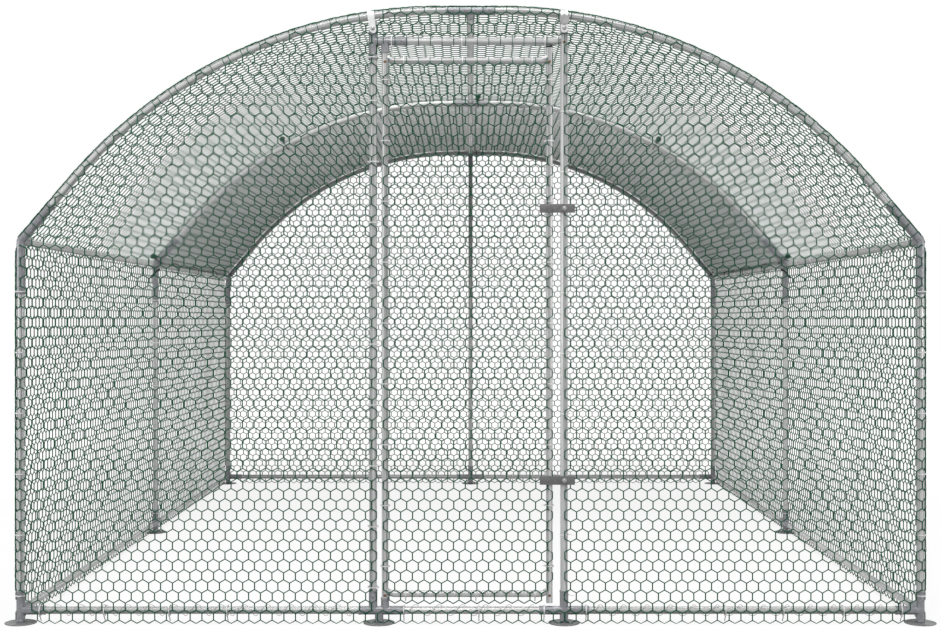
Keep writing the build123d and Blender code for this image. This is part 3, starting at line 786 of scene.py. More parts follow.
# Latches: flat bars on their bolts
latch_bevel = 0.0007
for name in ("lower", "upper"):
    low, high = (np.array(corner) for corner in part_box(f"latch_{name}"))
    block = bevelled_block(tuple(high - low), latch_bevel, 2)
    bar = add_block(Solid(), block, (low + high) / 2, np.eye(3))
    show(f"latch_{name}_bar", bar, latch_finish, f"{name}_latch", f"latch_{name}")

latch_front, latch_back = (corner.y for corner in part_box("latch_lower"))
latch_heights = [middle(f"latch_{name}").z for name in ("lower", "upper")]
strap_bolt_drop = 0.046
strap_outer = 0.0195
strap_inner = 0.0175
bolt_r = 0.003
collar_r = 0.0065
bolt_play = 0.0001
stud_bite = 0.001
head_profile = [(0, 0), (0.0075, 0), (0.0075, 0.0008), (0.0062, 0.0010), (0.0060, 0.0026)]
head_profile += [(0.0046, 0.0038), (0.0022, 0.0042), (0, 0.0042)]
bolts = Solid()
stud_start = front_y - tube_r + stud_bite
stud_end = stud_start - latch_front
collar_end = stud_start - latch_back - bolt_play
stud = [(0, 0), (collar_r, 0), (collar_r, collar_end), (bolt_r, collar_end)]
stud += [(bolt_r, stud_end), (0, stud_end)]
for z in latch_heights:
    add_turned(bolts, (latch_x, latch_front - bolt_play, z), forward, head_profile, 18)
    add_turned(bolts, (latch_x, stud_start, z), forward, stud, 18)
shank = [(0, -strap_outer), (bolt_r, -strap_outer), (bolt_r, strap_outer), (0, strap_outer)]
for x in (hinge_x, latch_x):
    z = arch_height(x) - strap_bolt_drop
    add_turned(bolts, (x, front_y - strap_outer, z), forward, head_profile, 18)
    add_turned(bolts, (x, front_y + strap_outer, z), rearward, head_profile, 18)
    add_turned(bolts, (x, front_y, z), rearward, shank, 12)
show("bolt_set", bolts, bolt_finish, replaces="bolts")

# Straps that hang the door posts from the front arch
strap_play = 0.0004
strap_drop = 0.062
strap_tip = 0.12
strap_leg_steps = 14
strap_leg_power = 1.6
strap_turn_steps = 16


def strap(name, x, width, lean=0.0):
    """Mesh of a flat strap over the front arch, with rounded ends below on both sides."""
    crown = arch_height(abs(x) - width / 2) + tube_r + strap_play - strap_inner
    foot_z = arch_height(x) - strap_drop
    reach = (strap_inner + strap_outer) / 2
    thick = (strap_outer - strap_inner) / 2
    heights = foot_z + (crown - foot_z) * np.linspace(0, 1, strap_leg_steps)[:-1] ** strap_leg_power
    turns = [pi * i / strap_turn_steps for i in range(strap_turn_steps + 1)]
    route = [(-reach, z) for z in heights]
    route += [(-reach * cos(t), crown + reach * sin(t)) for t in turns]
    route += [(reach, z) for z in heights[::-1]]
    points = []
    for k, (y, z) in enumerate(route):
        along = np.subtract(route[min(k + 1, len(route) - 1)], route[max(k - 1, 0)])
        along /= np.linalg.norm(along)
        from_end = min(z - foot_z, width / 2)
        half = sqrt(max((width / 2) ** 2 - (width / 2 - from_end) ** 2, (strap_tip * width) ** 2))
        middle_x = x + lean * (z - arch_height(x) + strap_bolt_drop)
        for across, out in ((-half, -thick), (half, -thick), (half, thick), (-half, thick)):
            points.append((middle_x + across, front_y + y - out * along[1], z + out * along[0]))
    return mesh_of(name, Solid().add(points, capped(len(route), 4)))


straps = [strap("hinge_strap", hinge_x, 0.0225, -0.15), strap("latch_strap", latch_x, 0.024)]
show("door_post_straps", joined("door_post_straps", straps), strap_finish, replaces="post_straps")

plate_drop = 0.0185
plate_z = arch_height(latch_x) - plate_drop
plate_steps = [(0.0, 0.0187), (0.0018, 0.0187), (0.0026, 0.0180)]
plate_path = [(latch_x, front_y - strap_outer - step, plate_z) for step, radius in plate_steps]
outlines = [[(b, a) for a, b in circle(radius, 6)] for step, radius in plate_steps]
plate = add_sweep(Solid(), plate_path, lambda i: outlines[i])
show("latch_strap_plate", plate, plate_finish, sharp=20)

# Netting: hexagonal cells with twisted upright sides. Cells and the junctions between them
# have whole-number places, in half pitches across and half side lengths up
net_pitch = 0.03895
net_half_x = net_pitch / 2
net_half_y = net_pitch / (2 * sqrt(3))
net_step = np.array([net_half_x, net_half_y])
strand_width = 0.0035
twist_width = 0.0040
wire_depth = 0.0034
corner_steps = np.array([(0, 2), (1, 1), (1, -1), (0, -2), (-1, -1), (-1, 1)])
beside_steps = np.array([(1, 3), (2, 0), (1, -3), (-1, -3), (-2, 0), (-1, 3)])
twisted_sides = (1, 4)

# Every cell that a net could have, in more columns and rows than the largest net
most_columns, most_rows = (np.arange(-most, most + 1) for most in (250, 80))
net_grid = np.stack(np.meshgrid(most_columns, most_rows), -1).reshape(-1, 2)
net_grid = net_grid[net_grid.sum(1) % 2 == 0] * (1, 3)

# How the netting is cut, wrapped and gathered at its edges
pull = 0.0006
ripple = 0.0004
gather = 0.15
face_r = 0.0156
roof_r = 0.0161
door_net_r = 0.0127
net_wrap = 0.026
net_foot = 0.02
ground_tips = 0.0016
floor_clear = 0.0006
quarter_turn = 0.0215
edge_x = half_width + net_wrap
post_lap = 0.010
latch_gap = 0.008
corner_room = 0.020
base_corner_room = 0.030
foot_room = 0.065
cut_margin = 0.018
cut_reach = 0.036
cut_end = 0.026
cut_room = 0.03
cut_strand_r = 0.0012


def hole_corners(gauge):
    """Corners of the gap in a cell, from the cell's middle. gauge is a part of the usual wire width."""
    top = 2 * net_half_y - gauge * strand_width / 2 / cos(pi / 6)
    x = net_half_x - gauge * twist_width / 2
    y = top - x * tan(pi / 6)
    return np.array([(0, top), (x, y), (x, -y), (0, -top), (-x, -y), (-x, y)])


code_shift = 100000
code_row = 1000000


def code(places):
    """One whole number for each whole-number place."""
    return (places[..., 0] + code_shift) * code_row + places[..., 1] + code_shift


def drift(u, v, seed):
    """Slow uneven pull of the netting, in its own plane and out of it."""
    waves = np.random.default_rng(seed).uniform(0, 2 * pi, 9)
    across = pull * (np.sin(7.1 * u + 4.3 * v + waves[0]) + 0.7 * np.sin(13.7 * v - 5.9 * u + waves[1]))
    along = pull * (np.sin(6.3 * v - 3.7 * u + waves[2]) + 0.7 * np.sin(15.1 * u + 8.3 * v + waves[3]))
    across += ripple * np.sin(41.0 * u + 29.0 * v + waves[4])
    along += ripple * np.sin(37.0 * v - 31.0 * u + waves[5])
    out = 0.5 * np.sin(8.9 * u + 3.1 * v + waves[6]) + 0.5 * np.sin(5.3 * v - 6.7 * u + waves[7])
    return across, along, out


class Wrap:
    """Edge at which flat netting bends round a tube: a line that faces a way, or else the arch.

    Past the limit, which is a distance from the tube's axis, the netting is gathered to a bundle.
    """

    def __init__(self, way=None, at=0.0, limit=1.0):
        self.way = way
        self.at = at
        self.limit = limit

    def beyond(self, u, v):
        """How far points lie past the tube's axis, the axis points they are nearest, and the way out."""
        if self.way is None:
            girth, outside = arch_nearest(u, v)
            nearest, outward, along = arch_frame(girth)
            return outside, nearest.T, outward.T
        axis = int(self.way[0] == 0)
        near = np.array([u, v])
        past = self.way[axis] * (near[axis] - self.at)
        near[axis] = self.at
        return past, near, np.multiply.outer(self.way, np.ones(len(u)))


def add_cut_strands(solid, spots, wrap, place, gauge, seed):
    """Strands from loose junctions at the netting's edge over the tube that the wrap goes round."""
    u, v = spots.T
    past, _, way = wrap.beyond(u, v)
    across, along, _ = drift(u, v, seed)
    near_tube = (past > -cut_reach) & (past < cut_end / 2) & (np.abs(u) < half_width - cut_room)
    for k in np.flatnonzero(near_tube):
        steps = np.linspace(0, cut_end - past[k], 10)
        level = np.zeros_like(steps)
        route = place(u[k] + across[k] + way[0][k] * steps, v[k] + along[k] + way[1][k] * steps, level, level)
        add_tube(solid, route, cut_strand_r * gauge, None, 6)


def wall(to_space, wraps, radius, bulge=0.0):
    """Place netting on a flat wall that bends round the tubes at its edges."""

    def place(u, v, depth, out):
        x, z = u, v
        lift = radius + depth + bulge * np.clip(out, 0, 1)
        bent = np.zeros(len(u), bool)
        for wrap in wraps:
            past, near, way = wrap.beyond(u, v)
            turning = (past > 0) & ~bent
            bent |= turning
            gathered = np.minimum(past, wrap.limit) + gather * np.maximum(past - wrap.limit, 0)
            angle = np.clip(gathered / radius, 0, pi)
            x = np.where(turning, near[0] + way[0] * (radius + depth) * np.sin(angle), x)
            z = np.where(turning, near[1] + way[1] * (radius + depth) * np.sin(angle), z)
            lift = np.where(turning, (radius + depth) * np.cos(angle), lift)
        return to_space(x, np.maximum(z, floor_clear), lift)

    return place


def netting(node, keep, place, phase, seed, gauge, body="frame", flip=False, cuts=None, cut_wraps=()):
    """Netting for a CAD node: the cells that keep() chooses, laid on a surface by place().

    cuts is the solid that takes the cut strands at the edge, and cut_wraps are what they go over.
    """
    cells = net_grid[keep(*(net_grid * net_step + phase).T)]
    count = len(cells)
    corners = cells[:, None, :] + corner_steps
    _, first, inverse, uses = np.unique(
        code(corners).ravel(), return_index=True, return_inverse=True, return_counts=True)
    junctions = corners.reshape(-1, 2)[first] * net_step
    for wrap in cut_wraps:
        add_cut_strands(cuts, junctions[uses == 1] + phase, wrap, place, gauge, seed)
    total = len(junctions)
    front_start = 6 * count
    rear_start = front_start + total
    outer_start = rear_start + total
    of_corner = inverse.reshape(count, 6)
    gap = hole_corners(gauge)
    holes = (cells * net_step)[:, None, :] + gap
    hole = np.arange(6 * count).reshape(count, 6)
    next_hole, next_corner = np.roll(hole, -1, 1), np.roll(of_corner, -1, 1)
    front = [hole, next_hole, front_start + next_corner, front_start + of_corner]
    rear = [next_hole, hole, rear_start + of_corner, rear_start + next_corner]
    quads = [np.stack(face, -1).reshape(-1, 4) for face in (front, rear)]

    # Outer half of each strand at the edge of the netting
    beside = cells[:, None, :] + beside_steps
    edge = ~np.isin(code(beside), code(cells))
    outer_points = {}

    def outer(cell, side, corner, other_side, other_corner):
        """Number of the point outside a junction, shared by the two edge strands that meet there."""
        if edge[cell, other_side]:
            key = (0, cell, corner)
            spot = 2 * corners[cell, corner] * net_step - holes[cell, corner]
        else:
            key = (1, int(code(beside[cell, side])), other_corner)
            spot = beside[cell, side] * net_step + gap[other_corner]
        return outer_points.setdefault(key, (len(outer_points), spot))[0]

    rims = []
    for cell, side in np.argwhere(edge):
        after = (side + 1) % 6
        a = outer(cell, side, side, (side + 5) % 6, (side + 4) % 6)
        b = outer(cell, side, after, after, (side + 3) % 6)
        rims.append((a, b, of_corner[cell, side], of_corner[cell, after]))
    rims = np.array(rims) + (outer_start, outer_start, front_start, front_start)
    quads += [rims[:, [1, 0, 2, 3]], (rims + (0, 0, total, total))[:, [0, 1, 3, 2]]]
    quads = np.concatenate(quads)[:, ::-1 if flip else 1]

    outside = [spot for number, spot in outer_points.values()]
    points = np.concatenate([holes.reshape(-1, 2), junctions, junctions, outside]) + phase
    depth = np.zeros(len(points))
    depth[front_start:rear_start] = gauge * wire_depth / 2
    depth[rear_start:outer_start] = -gauge * wire_depth / 2
    across, along, out = drift(points[:, 0], points[:, 1], seed)
    name = node.replace("net_", "netting_")
    mesh = bpy.data.meshes.new(name)
    mesh.from_pydata(place(points[:, 0] + across, points[:, 1] + along, depth, out), [], quads)

    # Flat places, and the sides where two wires are twisted together, for the finish
    add_layer(mesh, "flat", "FLOAT_VECTOR", "POINT", np.column_stack([points, np.zeros(len(points))]))
    inside, rim = np.tile(np.arange(6), count), np.argwhere(edge)[:, 1]
    twisted = np.isin(np.concatenate([inside, inside, rim, rim]), twisted_sides)
    add_layer(mesh, "twisted", "FLOAT", "FACE", twisted)

    # Texture places cover each whole cell, so that every part of the map is filled
    spots = points.copy()
    spots[:front_start] = np.repeat(cells * net_step + phase, 6, axis=0)
    spots = (spots - spots.min(0)) / np.ptp(spots, axis=0).max()
    layer = mesh.uv_layers.new(name="OFBake")
    layer.data.foreach_set("uv", spots[quads.ravel()].astype(np.float32).ravel())
    return show(name, mesh, net_finish, body, node, sharp=180)


def end_space(y, sign):
    return lambda x, z, lift: np.stack([x, y + sign * lift, z], -1)


def side_space(sign):
    return lambda y, z, lift: np.stack([sign * (half_width + lift), y, z], -1)


def clear_of_corner(u, v):
    """Leave out cells that would bend round a corner post and an arch at once, or lie on a base sleeve."""
    at_eave = (np.abs(u) > half_width - corner_room) & (v > eave_z - corner_room)
    at_base = (np.abs(u) > half_width - base_corner_room) & (v < base_z + leg_sleeve)
    at_foot = (np.abs(u) > half_width - foot_room) & (v < base_z)
    return ~(at_eave | at_base | at_foot)


def wall_cells(low, high, foot=net_foot):
    """Choose cells between two places across an end wall, from a foot to the arch."""

    def keep(u, v):
        inside = (u > low) & (u < high) & (v > foot) & (arch_nearest(u, v)[1] < -cut_margin)
        return inside & clear_of_corner(u, v)

    return keep


front_cuts, back_cuts, door_cuts = Solid(), Solid(), Solid()
front_gauge = 1.0
back_gauge = 1.15
side_gauge = 1.06
roof_gauge = 0.93
front_column = -0.2512
back_shift = 0.012
front_phase = np.array([front_column, ground_tips + 2 * net_half_y])
front_space = end_space(front_y, -1)
arch_wrap = Wrap(None, 0.0, quarter_turn)
end_wraps = [Wrap((-1, 0), -half_width, quarter_turn), Wrap((1, 0), half_width, quarter_turn), arch_wrap]
header_wrap = Wrap((0, -1), header_z)
netting(
    "net_front_left", wall_cells(-edge_x, hinge_x + post_lap),
    wall(front_space, [*end_wraps, Wrap((1, 0), hinge_x)], face_r),
    front_phase, 11, front_gauge, cuts=front_cuts, cut_wraps=[arch_wrap])
netting(
    "net_front_right", wall_cells(latch_x + post_lap, edge_x), wall(front_space, end_wraps, face_r),
    front_phase, 12, front_gauge, cuts=front_cuts, cut_wraps=[arch_wrap])
netting(
    "net_over_door", wall_cells(hinge_x + post_lap, latch_x - latch_gap, header_z + cut_margin),
    wall(front_space, [header_wrap, arch_wrap], face_r),
    front_phase, 13, front_gauge, cuts=front_cuts, cut_wraps=[header_wrap, arch_wrap])
netting(
    "net_sill",
    lambda u, v: (u > hinge_x + post_lap) & (u < latch_x + post_lap) & (v > net_foot) & (v < base_z),
    wall(front_space, [Wrap((0, 1), base_z)], face_r), front_phase, 11, front_gauge)

door_tips = 0.0683
door_phase = np.array([front_column, door_tips + 2 * net_half_y])
door_lap_left = 0.004
door_lap_right = 0.010
skirt_inset = 0.030
skirt_foot = 0.07
over_rail = 0.010


def door_cells(u, v):
    """Cells of the door's netting: round the stiles, and a skirt between them."""
    between = (u > pivot_x + skirt_inset) & (u < stile_x - skirt_inset) & (v > skirt_foot)
    across = (u > pivot_x - door_lap_left) & (u < stile_x + door_lap_right)
    return (between | across & (v > door_bottom_z + over_rail)) & (v < door_top_z - cut_margin)


door_top_wrap = Wrap((0, 1), door_top_z)
door_wraps = [Wrap((-1, 0), pivot_x), Wrap((1, 0), stile_x), door_top_wrap]
netting(
    "net_door", door_cells, wall(front_space, door_wraps, door_net_r),
    door_phase, 14, front_gauge, "door", cuts=door_cuts, cut_wraps=[door_top_wrap])
netting(
    "net_back", wall_cells(-edge_x, edge_x), wall(end_space(back_y, 1), end_wraps, face_r),
    front_phase + (back_shift, 0.0), 15, back_gauge, flip=True, cuts=back_cuts, cut_wraps=[arch_wrap])
show("netting_front_cuts", front_cuts, net_finish, sharp=80)
show("netting_back_cuts", back_cuts, net_finish, sharp=80)
show("netting_door_cuts", door_cuts, net_finish, "door", sharp=80)

edge_inset = 0.0155
column_inset = 0.002
end_column = front_y + edge_inset + column_inset
side_reach = back_y - edge_inset
side_phase = np.array([end_column, ground_tips + 2 * net_half_y])
side_bulge = 0.003
side_lap = 0.012
for side, sign in sides.items():
    netting(
        f"net_side_{side}",
        lambda u, v: (np.abs(u) < side_reach) & (v > net_foot) & (v < eave_z + side_lap),
        wall(side_space(sign), [Wrap((0, 1), eave_z, quarter_turn)], face_r, side_bulge),
        side_phase, 16 + sign, side_gauge, flip=sign < 0)

roof_shift = 0.010
roof_phase = np.array([end_column, roof_shift])
roof_bulge = 0.0012
roof_end_room = 0.05
eave_lap = 0.010
girth_edge = half_girth + eave_lap


def roof(u, v, depth, out):
    """Place netting on the vault: u along the run, v round the arch, bent round the eave rails."""
    nearest, outward, along = arch_frame(np.clip(v, -half_girth, half_girth))
    past = np.maximum(np.abs(v) - half_girth, 0)
    radius = roof_r + depth
    flat = radius + roof_bulge * np.clip(out, 0, 1) * (np.abs(u) < back_y - roof_end_room)
    angle = np.clip(past / roof_r, 0, pi)
    lift = np.where(past > 0, radius * np.cos(angle), flat)
    spot = nearest + lift[:, None] * outward + (radius * np.sin(angle))[:, None] * along
    return np.stack([spot[:, 0], u, spot[:, 1]], -1)


for bay, (low, high) in zip(bays, ((front_y + edge_inset, mid_y), (mid_y, back_y - edge_inset))):
    netting(
        f"net_roof_{bay}", lambda u, v: (u > low) & (u <= high) & (np.abs(v) < girth_edge),
        roof, roof_phase, 20, roof_gauge, flip=True)

# Edge wires: where two nets meet, their cut strands are twisted to a lumpy wire along the tube
edge_wire_r = 0.0021
post_wire_r = 0.0013
edge_step = 0.0065
edge_stop = 0.01
post_stop = 0.03
arch_wire_lift = 0.0132
arch_wire_ahead = 0.0085
post_wire_out = 0.0016
post_wire_ahead = 0.0045
arch_lump = 0.0009
post_lump = 0.0006
ahead_lump = 0.0012
edge_lumps = np.random.default_rng(31)
edge_wires = Solid()
for y, way in ((front_y, -1), (back_y, 1)):
    girths = np.arange(-half_girth + edge_stop, half_girth - edge_stop, edge_step)
    lumps = edge_lumps.uniform(-1, 1, (len(girths), 2))
    nearest, outward, along = arch_frame(girths)
    spots = nearest + (arch_wire_lift + arch_lump * lumps[:, 0])[:, None] * outward
    ahead = y + way * (arch_wire_ahead + ahead_lump * lumps[:, 1])
    add_tube(edge_wires, np.stack([spots[:, 0], ahead, spots[:, 1]], -1), edge_wire_r, None, 6)
    for sign in sides.values():
        heights = np.arange(base_z + leg_sleeve, eave_z - post_stop, edge_step)
        lumps = edge_lumps.uniform(-1, 1, (len(heights), 2))
        x = sign * (half_width + face_r + post_wire_out + post_lump * lumps[:, 0])
        ahead = y + way * (post_wire_ahead + ahead_lump * lumps[:, 1])
        add_tube(edge_wires, np.stack([x, ahead, heights], -1), post_wire_r, None, 6)
show("netting_edge_wires", edge_wires, net_finish, sharp=80)

# Cable ties that hold the netting to the tubes
tie_width = 0.0036
tie_thickness = 0.0011
tie_steps = 20
tail_start = 0.002
tail_steps = 6
tail_rise = 0.25
tail_curl = 6.0
lock_block = bevelled_block((0.0052, 0.0050, 0.0046), 0.0007, 1)
lock_lift = 0.0020
tail_half_width = 0.42 * tie_width
tail_half_depth = 0.0005
tail_outline = [(-1, -1), (1, -1), (1, 1), (-1, 1)]
tail_outline = [(a * tail_half_width, b * tail_half_depth) for a, b in tail_outline]


def add_tie(solid, centre, axis, radius, head, tail=0.024):
    """Cable tie round a tube: a flat band, its lock on the head side, and the end of its tail."""
    centre, axis, head = (np.asarray(given, float) for given in (centre, axis, head))
    around = np.cross(axis, head)
    outer = radius + tie_thickness
    points = []
    for a, b in circle(1.0, tie_steps):
        for r, h in ((radius, -1), (outer, -1), (outer, 1), (radius, 1)):
            points.append(centre + r * (a * head + b * around) + h * tie_width / 2 * axis)
    solid.add(points, band(tie_steps, 4, closed=True))
    lock = centre + (radius + lock_lift) * head
    add_block(solid, lock_block, lock, (around, axis, head))
    route = []
    for s in np.linspace(0, tail, tail_steps):
        route.append(lock + (s + tail_start) * around + (tail_rise * s + tail_curl * s * s) * head)
    add_sweep(solid, route, lambda i: tail_outline)


def clear_of_latches(z, room):
    return min(abs(z - latch_z) for latch_z in latch_heights) > room


tie_gap = 0.2025
latch_tie_gap = 0.2015
back_tie_gap = 0.22
rail_tie_gap = 0.25
back_rail_tie_gap = 0.26
ridge_tie_gap = 0.4
corner_tie_z = 0.093
hinge_tie_z = 0.121
hinge_top_tie_z = 1.886
latch_tie_z = 0.094
back_tie_z = 0.2
door_tie_z = 0.191
rail_tie_start = 0.2
rail_tie_stop = 0.1
back_tie_start = -1.3
back_tie_stop = 1.31
mid_leg_room = 0.12
back_post_room = 0.1
post_latch_room = 0.05
stile_latch_room = 0.022
tie_play = 0.0004
corner_tail = 0.020
door_tail = 0.012
net_tie_r = face_r + wire_depth / 2
bare_tie_r = tube_r + tie_play
door_tie_r = door_net_r + wire_depth / 2
roof_tie_r = roof_r + wire_depth / 2
under_front, under_back = (0, -0.5, -0.866), (0, 0.5, -0.866)
ties = Solid()
for sign in sides.values():
    x = sign * half_width
    for z in corner_tie_z + tie_gap * np.arange(6):
        add_tie(ties, (x, front_y, z), (0, 0, -sign), net_tie_r, (0.5 * sign, -0.866, 0), corner_tail)
        add_tie(ties, (x, back_y, z), (0, 0, sign), net_tie_r, (0.5 * sign, 0.866, 0), corner_tail)
        add_tie(ties, (x, mid_y, z), (0, 0, sign), net_tie_r, (sign, 0, 0))
    for y in np.arange(front_y + rail_tie_start, back_y - rail_tie_stop, rail_tie_gap):
        if abs(y - mid_y) > mid_leg_room:
            add_tie(ties, (x, y, base_z), (0, sign, 0), net_tie_r, (sign, 0, 0))
            add_tie(ties, (x, y, eave_z), (0, sign, 0), net_tie_r, (0.866 * sign, 0, 0.5))
for z in [*(hinge_tie_z + tie_gap * np.arange(9)), hinge_top_tie_z]:
    add_tie(ties, (hinge_x, front_y, z), down, net_tie_r, (0.9, -0.436, 0))
for z in latch_tie_z + latch_tie_gap * np.arange(9):
    if clear_of_latches(z, post_latch_room):
        add_tie(ties, (latch_x, front_y, z), down, bare_tie_r, (0.9, 0.436, 0))
for z in back_tie_z + back_tie_gap * np.arange(8):
    add_tie(ties, (0, back_y, z), up, net_tie_r, (0.6, 0.8, 0))
header_ties = (-0.263, -0.029, 0.248)
base_ties = (-1.434, -1.220, -1.003, -0.810, -0.222, 0.028, 0.245, 0.385, 0.849, 1.042, 1.242, 1.436)
for z, spots in ((header_z, header_ties), (base_z, base_ties)):
    for x in spots:
        add_tie(ties, (x, front_y, z), right, net_tie_r, under_front)
for x in np.arange(back_tie_start, back_tie_stop, back_rail_tie_gap):
    if abs(x) > back_post_room:
        add_tie(ties, (x, back_y, base_z), left, net_tie_r, under_back)
for y in np.arange(front_y + rail_tie_start, mid_y - rail_tie_stop, ridge_tie_gap):
    add_tie(ties, (0, y, ridge_z), rearward, roof_tie_r, (0.5, 0, 0.866))
show("frame_ties", ties, tie_finish)

door_ties = Solid()
for z in door_tie_z + tie_gap * np.arange(9):
    add_tie(door_ties, (pivot_x, front_y, z), down, door_tie_r, (0.9, -0.436, 0), door_tail)
    if clear_of_latches(z, stile_latch_room):
        add_tie(door_ties, (stile_x, front_y, z), up, door_tie_r, (-0.9, 0.436, 0), door_tail)
for z, spots in ((door_top_z, (-0.222, -0.026, 0.205)), (door_bottom_z, (-0.216, 0.018, 0.215))):
    for x in spots:
        add_tie(door_ties, (x, front_y, z), right, door_tie_r, under_front, door_tail)
show("door_ties", door_ties, tie_finish, "door")

# Lacing wire wound round the rails at the foot of the front wall
lacing_wire_r = 0.0008
lacing_steps = 20
lacing_stop = 0.10
lacing_hinge_stop = 0.06
lacing_pivot_stop = 0.08
lacing_pitch = 2 * net_pitch
lacing_r = net_tie_r + lacing_wire_r
lacing_spans = [(-half_width + lacing_stop, hinge_x - lacing_hinge_stop)]
lacing_spans.append((pivot_x + lacing_pivot_stop, latch_x - lacing_stop))
lacing_spans.append((latch_x + lacing_stop, half_width - lacing_stop))
lacing = Solid()
for start, end in lacing_spans:
    turns = (end - start) / lacing_pitch
    shares = np.linspace(0, 1, ceil(turns * lacing_steps) + 1)
    angle = 2 * pi * turns * shares
    y, z = front_y - lacing_r * np.cos(angle), base_z + lacing_r * np.sin(angle)
    add_tube(lacing, np.stack([start + (end - start) * shares, y, z], -1), lacing_wire_r, None, 6)
show("lacing_wire", lacing, lacing_finish, sharp=80)

# Sheet over the rear bay
cover_lift = 0.0172
cover_slack = 0.0046
cover_thickness = 0.0010
hem_thickness = 1.9
hem_width = 0.035
hem_seam = 0.0015
hem_fold = 0.0004
cover_inset = 0.004
cover_lap = 0.002
cover_overhang = 0.024
cover_columns = 70
cover_rows = 150
cover_edge = half_girth - cover_inset
cover_y0 = mid_y - cover_lap
cover_y1 = back_y + cover_overhang
cover_length = cover_y1 - cover_y0
scallop_depth = 0.006
pucker_depth = 0.0022
pucker_reach = 0.10
front_eyelets = (-1.735, -0.912, 0.036, 0.912, 1.735)
side_eyelets = (0.45, 0.95, 1.50)


def cover_lifts(y, girth):
    """Height of the sheet over the arch's axis: slack waves, and puckers at the eyelets."""
    lift = 0.0010 * np.sin(9.0 * girth + 2.0 * y) + 0.0008 * np.sin(14.0 * y - 5.0 * girth + 1.0)
    lift = cover_lift + cover_slack + lift + 0.0006 * np.sin(31.0 * girth + 7.0 * y + 2.0)
    for spot in front_eyelets:
        for edge in (cover_y0, cover_y1):
            fade = np.exp(-np.hypot(girth - spot, y - edge) / pucker_reach)
            lift = lift + pucker_depth * fade * np.sin(9.0 * np.arctan2(girth - spot, y - edge))
    return lift


def scallop(girth):
    """How far the free edge draws in between its eyelets."""
    spots = np.array(front_eyelets)
    right_of = np.clip(np.searchsorted(spots, girth), 1, len(spots) - 1)
    low, high = spots[right_of - 1], spots[right_of]
    share = np.clip((girth - low) / (high - low), 0, 1)
    return scallop_depth * 4 * share * (1 - share)


def cover_surface(shares, girths):
    """Points of the sheet's two faces, for shares of its length and distances round the arch."""
    share, girth = np.meshgrid(shares, girths)
    start, end = cover_y0 + scallop(girth), cover_y1 - scallop(girth)
    y = start + (end - start) * share
    nearest, outward, along = arch_frame(girth)
    edge = np.minimum.reduce([y - start, end - y, cover_edge - np.abs(girth)])
    thick = cover_thickness / 2 * np.where(edge < hem_width, hem_thickness, 1.0)
    faces = []
    for sign in (1, -1):
        spot = nearest + (cover_lifts(y, girth) + sign * thick)[..., None] * outward
        faces.append(np.stack([spot[..., 0], y, spot[..., 1]], -1))
    return faces


def hem_steps(length, count):
    """Steps along an edge, with pairs close together at both hems."""
    inner = np.linspace(hem_width + hem_fold, length - hem_width - hem_fold, count)
    hem = np.array([0.0, hem_seam, 0.5 * hem_width, hem_width - hem_fold])
    return np.concatenate([hem, inner, length - hem[::-1]])


shares = hem_steps(cover_length, cover_columns) / cover_length
girths = hem_steps(2 * cover_edge, cover_rows) - cover_edge
top, bottom = cover_surface(shares, girths)
index = np.arange(len(girths) * len(shares)).reshape(len(girths), len(shares))
quads = np.stack([index[:-1, :-1], index[:-1, 1:], index[1:, 1:], index[1:, :-1]], -1).reshape(-1, 4)
rim = np.concatenate([index[0, :], index[1:, -1], index[-1, -2::-1], index[-2:0:-1, 0]])
after = np.roll(rim, -1)
faces = [*np.stack([quads, quads[:, ::-1] + index.size], 1).reshape(-1, 4)]
faces += [*np.stack([after, rim, rim + index.size, after + index.size], -1)]
sheet = Solid().add([*top.reshape(-1, 3), *bottom.reshape(-1, 3)], faces)
cover = show("cover_sheet", sheet, cover_finish, replaces="roof_cover", sharp=60)

# Eyelets in the sheet's hem, and the elastic toggles that hold it to the tubes
eyelet_inset = 0.018
eyelet_profile = [(0.0058, -0.0012), (0.0105, -0.0012), (0.0112, -0.0004), (0.0112, 0.0014)]
eyelet_profile += [(0.0098, 0.0024), (0.0066, 0.0024), (0.0056, 0.0014), (0.0058, -0.0012)]
ball_r = 0.0132
ball_profile = [(ball_r * sin(pi * i / 10), -ball_r * cos(pi * i / 10)) for i in range(1, 10)]
ball_profile = [(0, -ball_r), *ball_profile, (0, ball_r)]
loop_r = 0.0225
loop_cord_r = 0.0019
leg_loop_r = 0.0195
leg_cord_r = 0.0035
leg_loop_drop = 0.040
side_ball_height = 0.036
side_ball_ahead = 0.004
loop_turns = np.linspace(0, 2 * pi, 30)
eyelets, balls, loops = Solid(), Solid(), Solid()


def add_toggle(y, girth, tube_centre, away, height=0.033, ahead=0.014):
    """Eyelet, an elastic loop from it round a tube, and the ball that stops the loop."""
    nearest, outward, along = arch_frame(girth)
    lift = cover_lifts(np.array([y]), np.array([girth]))[0]
    spot = nearest + lift * outward
    outward = np.array((outward[0], 0, outward[1]))
    tube_centre, away = np.asarray(tube_centre, float), np.asarray(away, float)
    add_turned(eyelets, (spot[0], y, spot[1]), outward, eyelet_profile, 20)
    route = [tube_centre + loop_r * (cos(t) * outward + sin(t) * away) for t in loop_turns]
    add_tube(loops, route, loop_cord_r, None, 8)
    add_turned(balls, tube_centre + height * outward + ahead * away, away, ball_profile, 20)


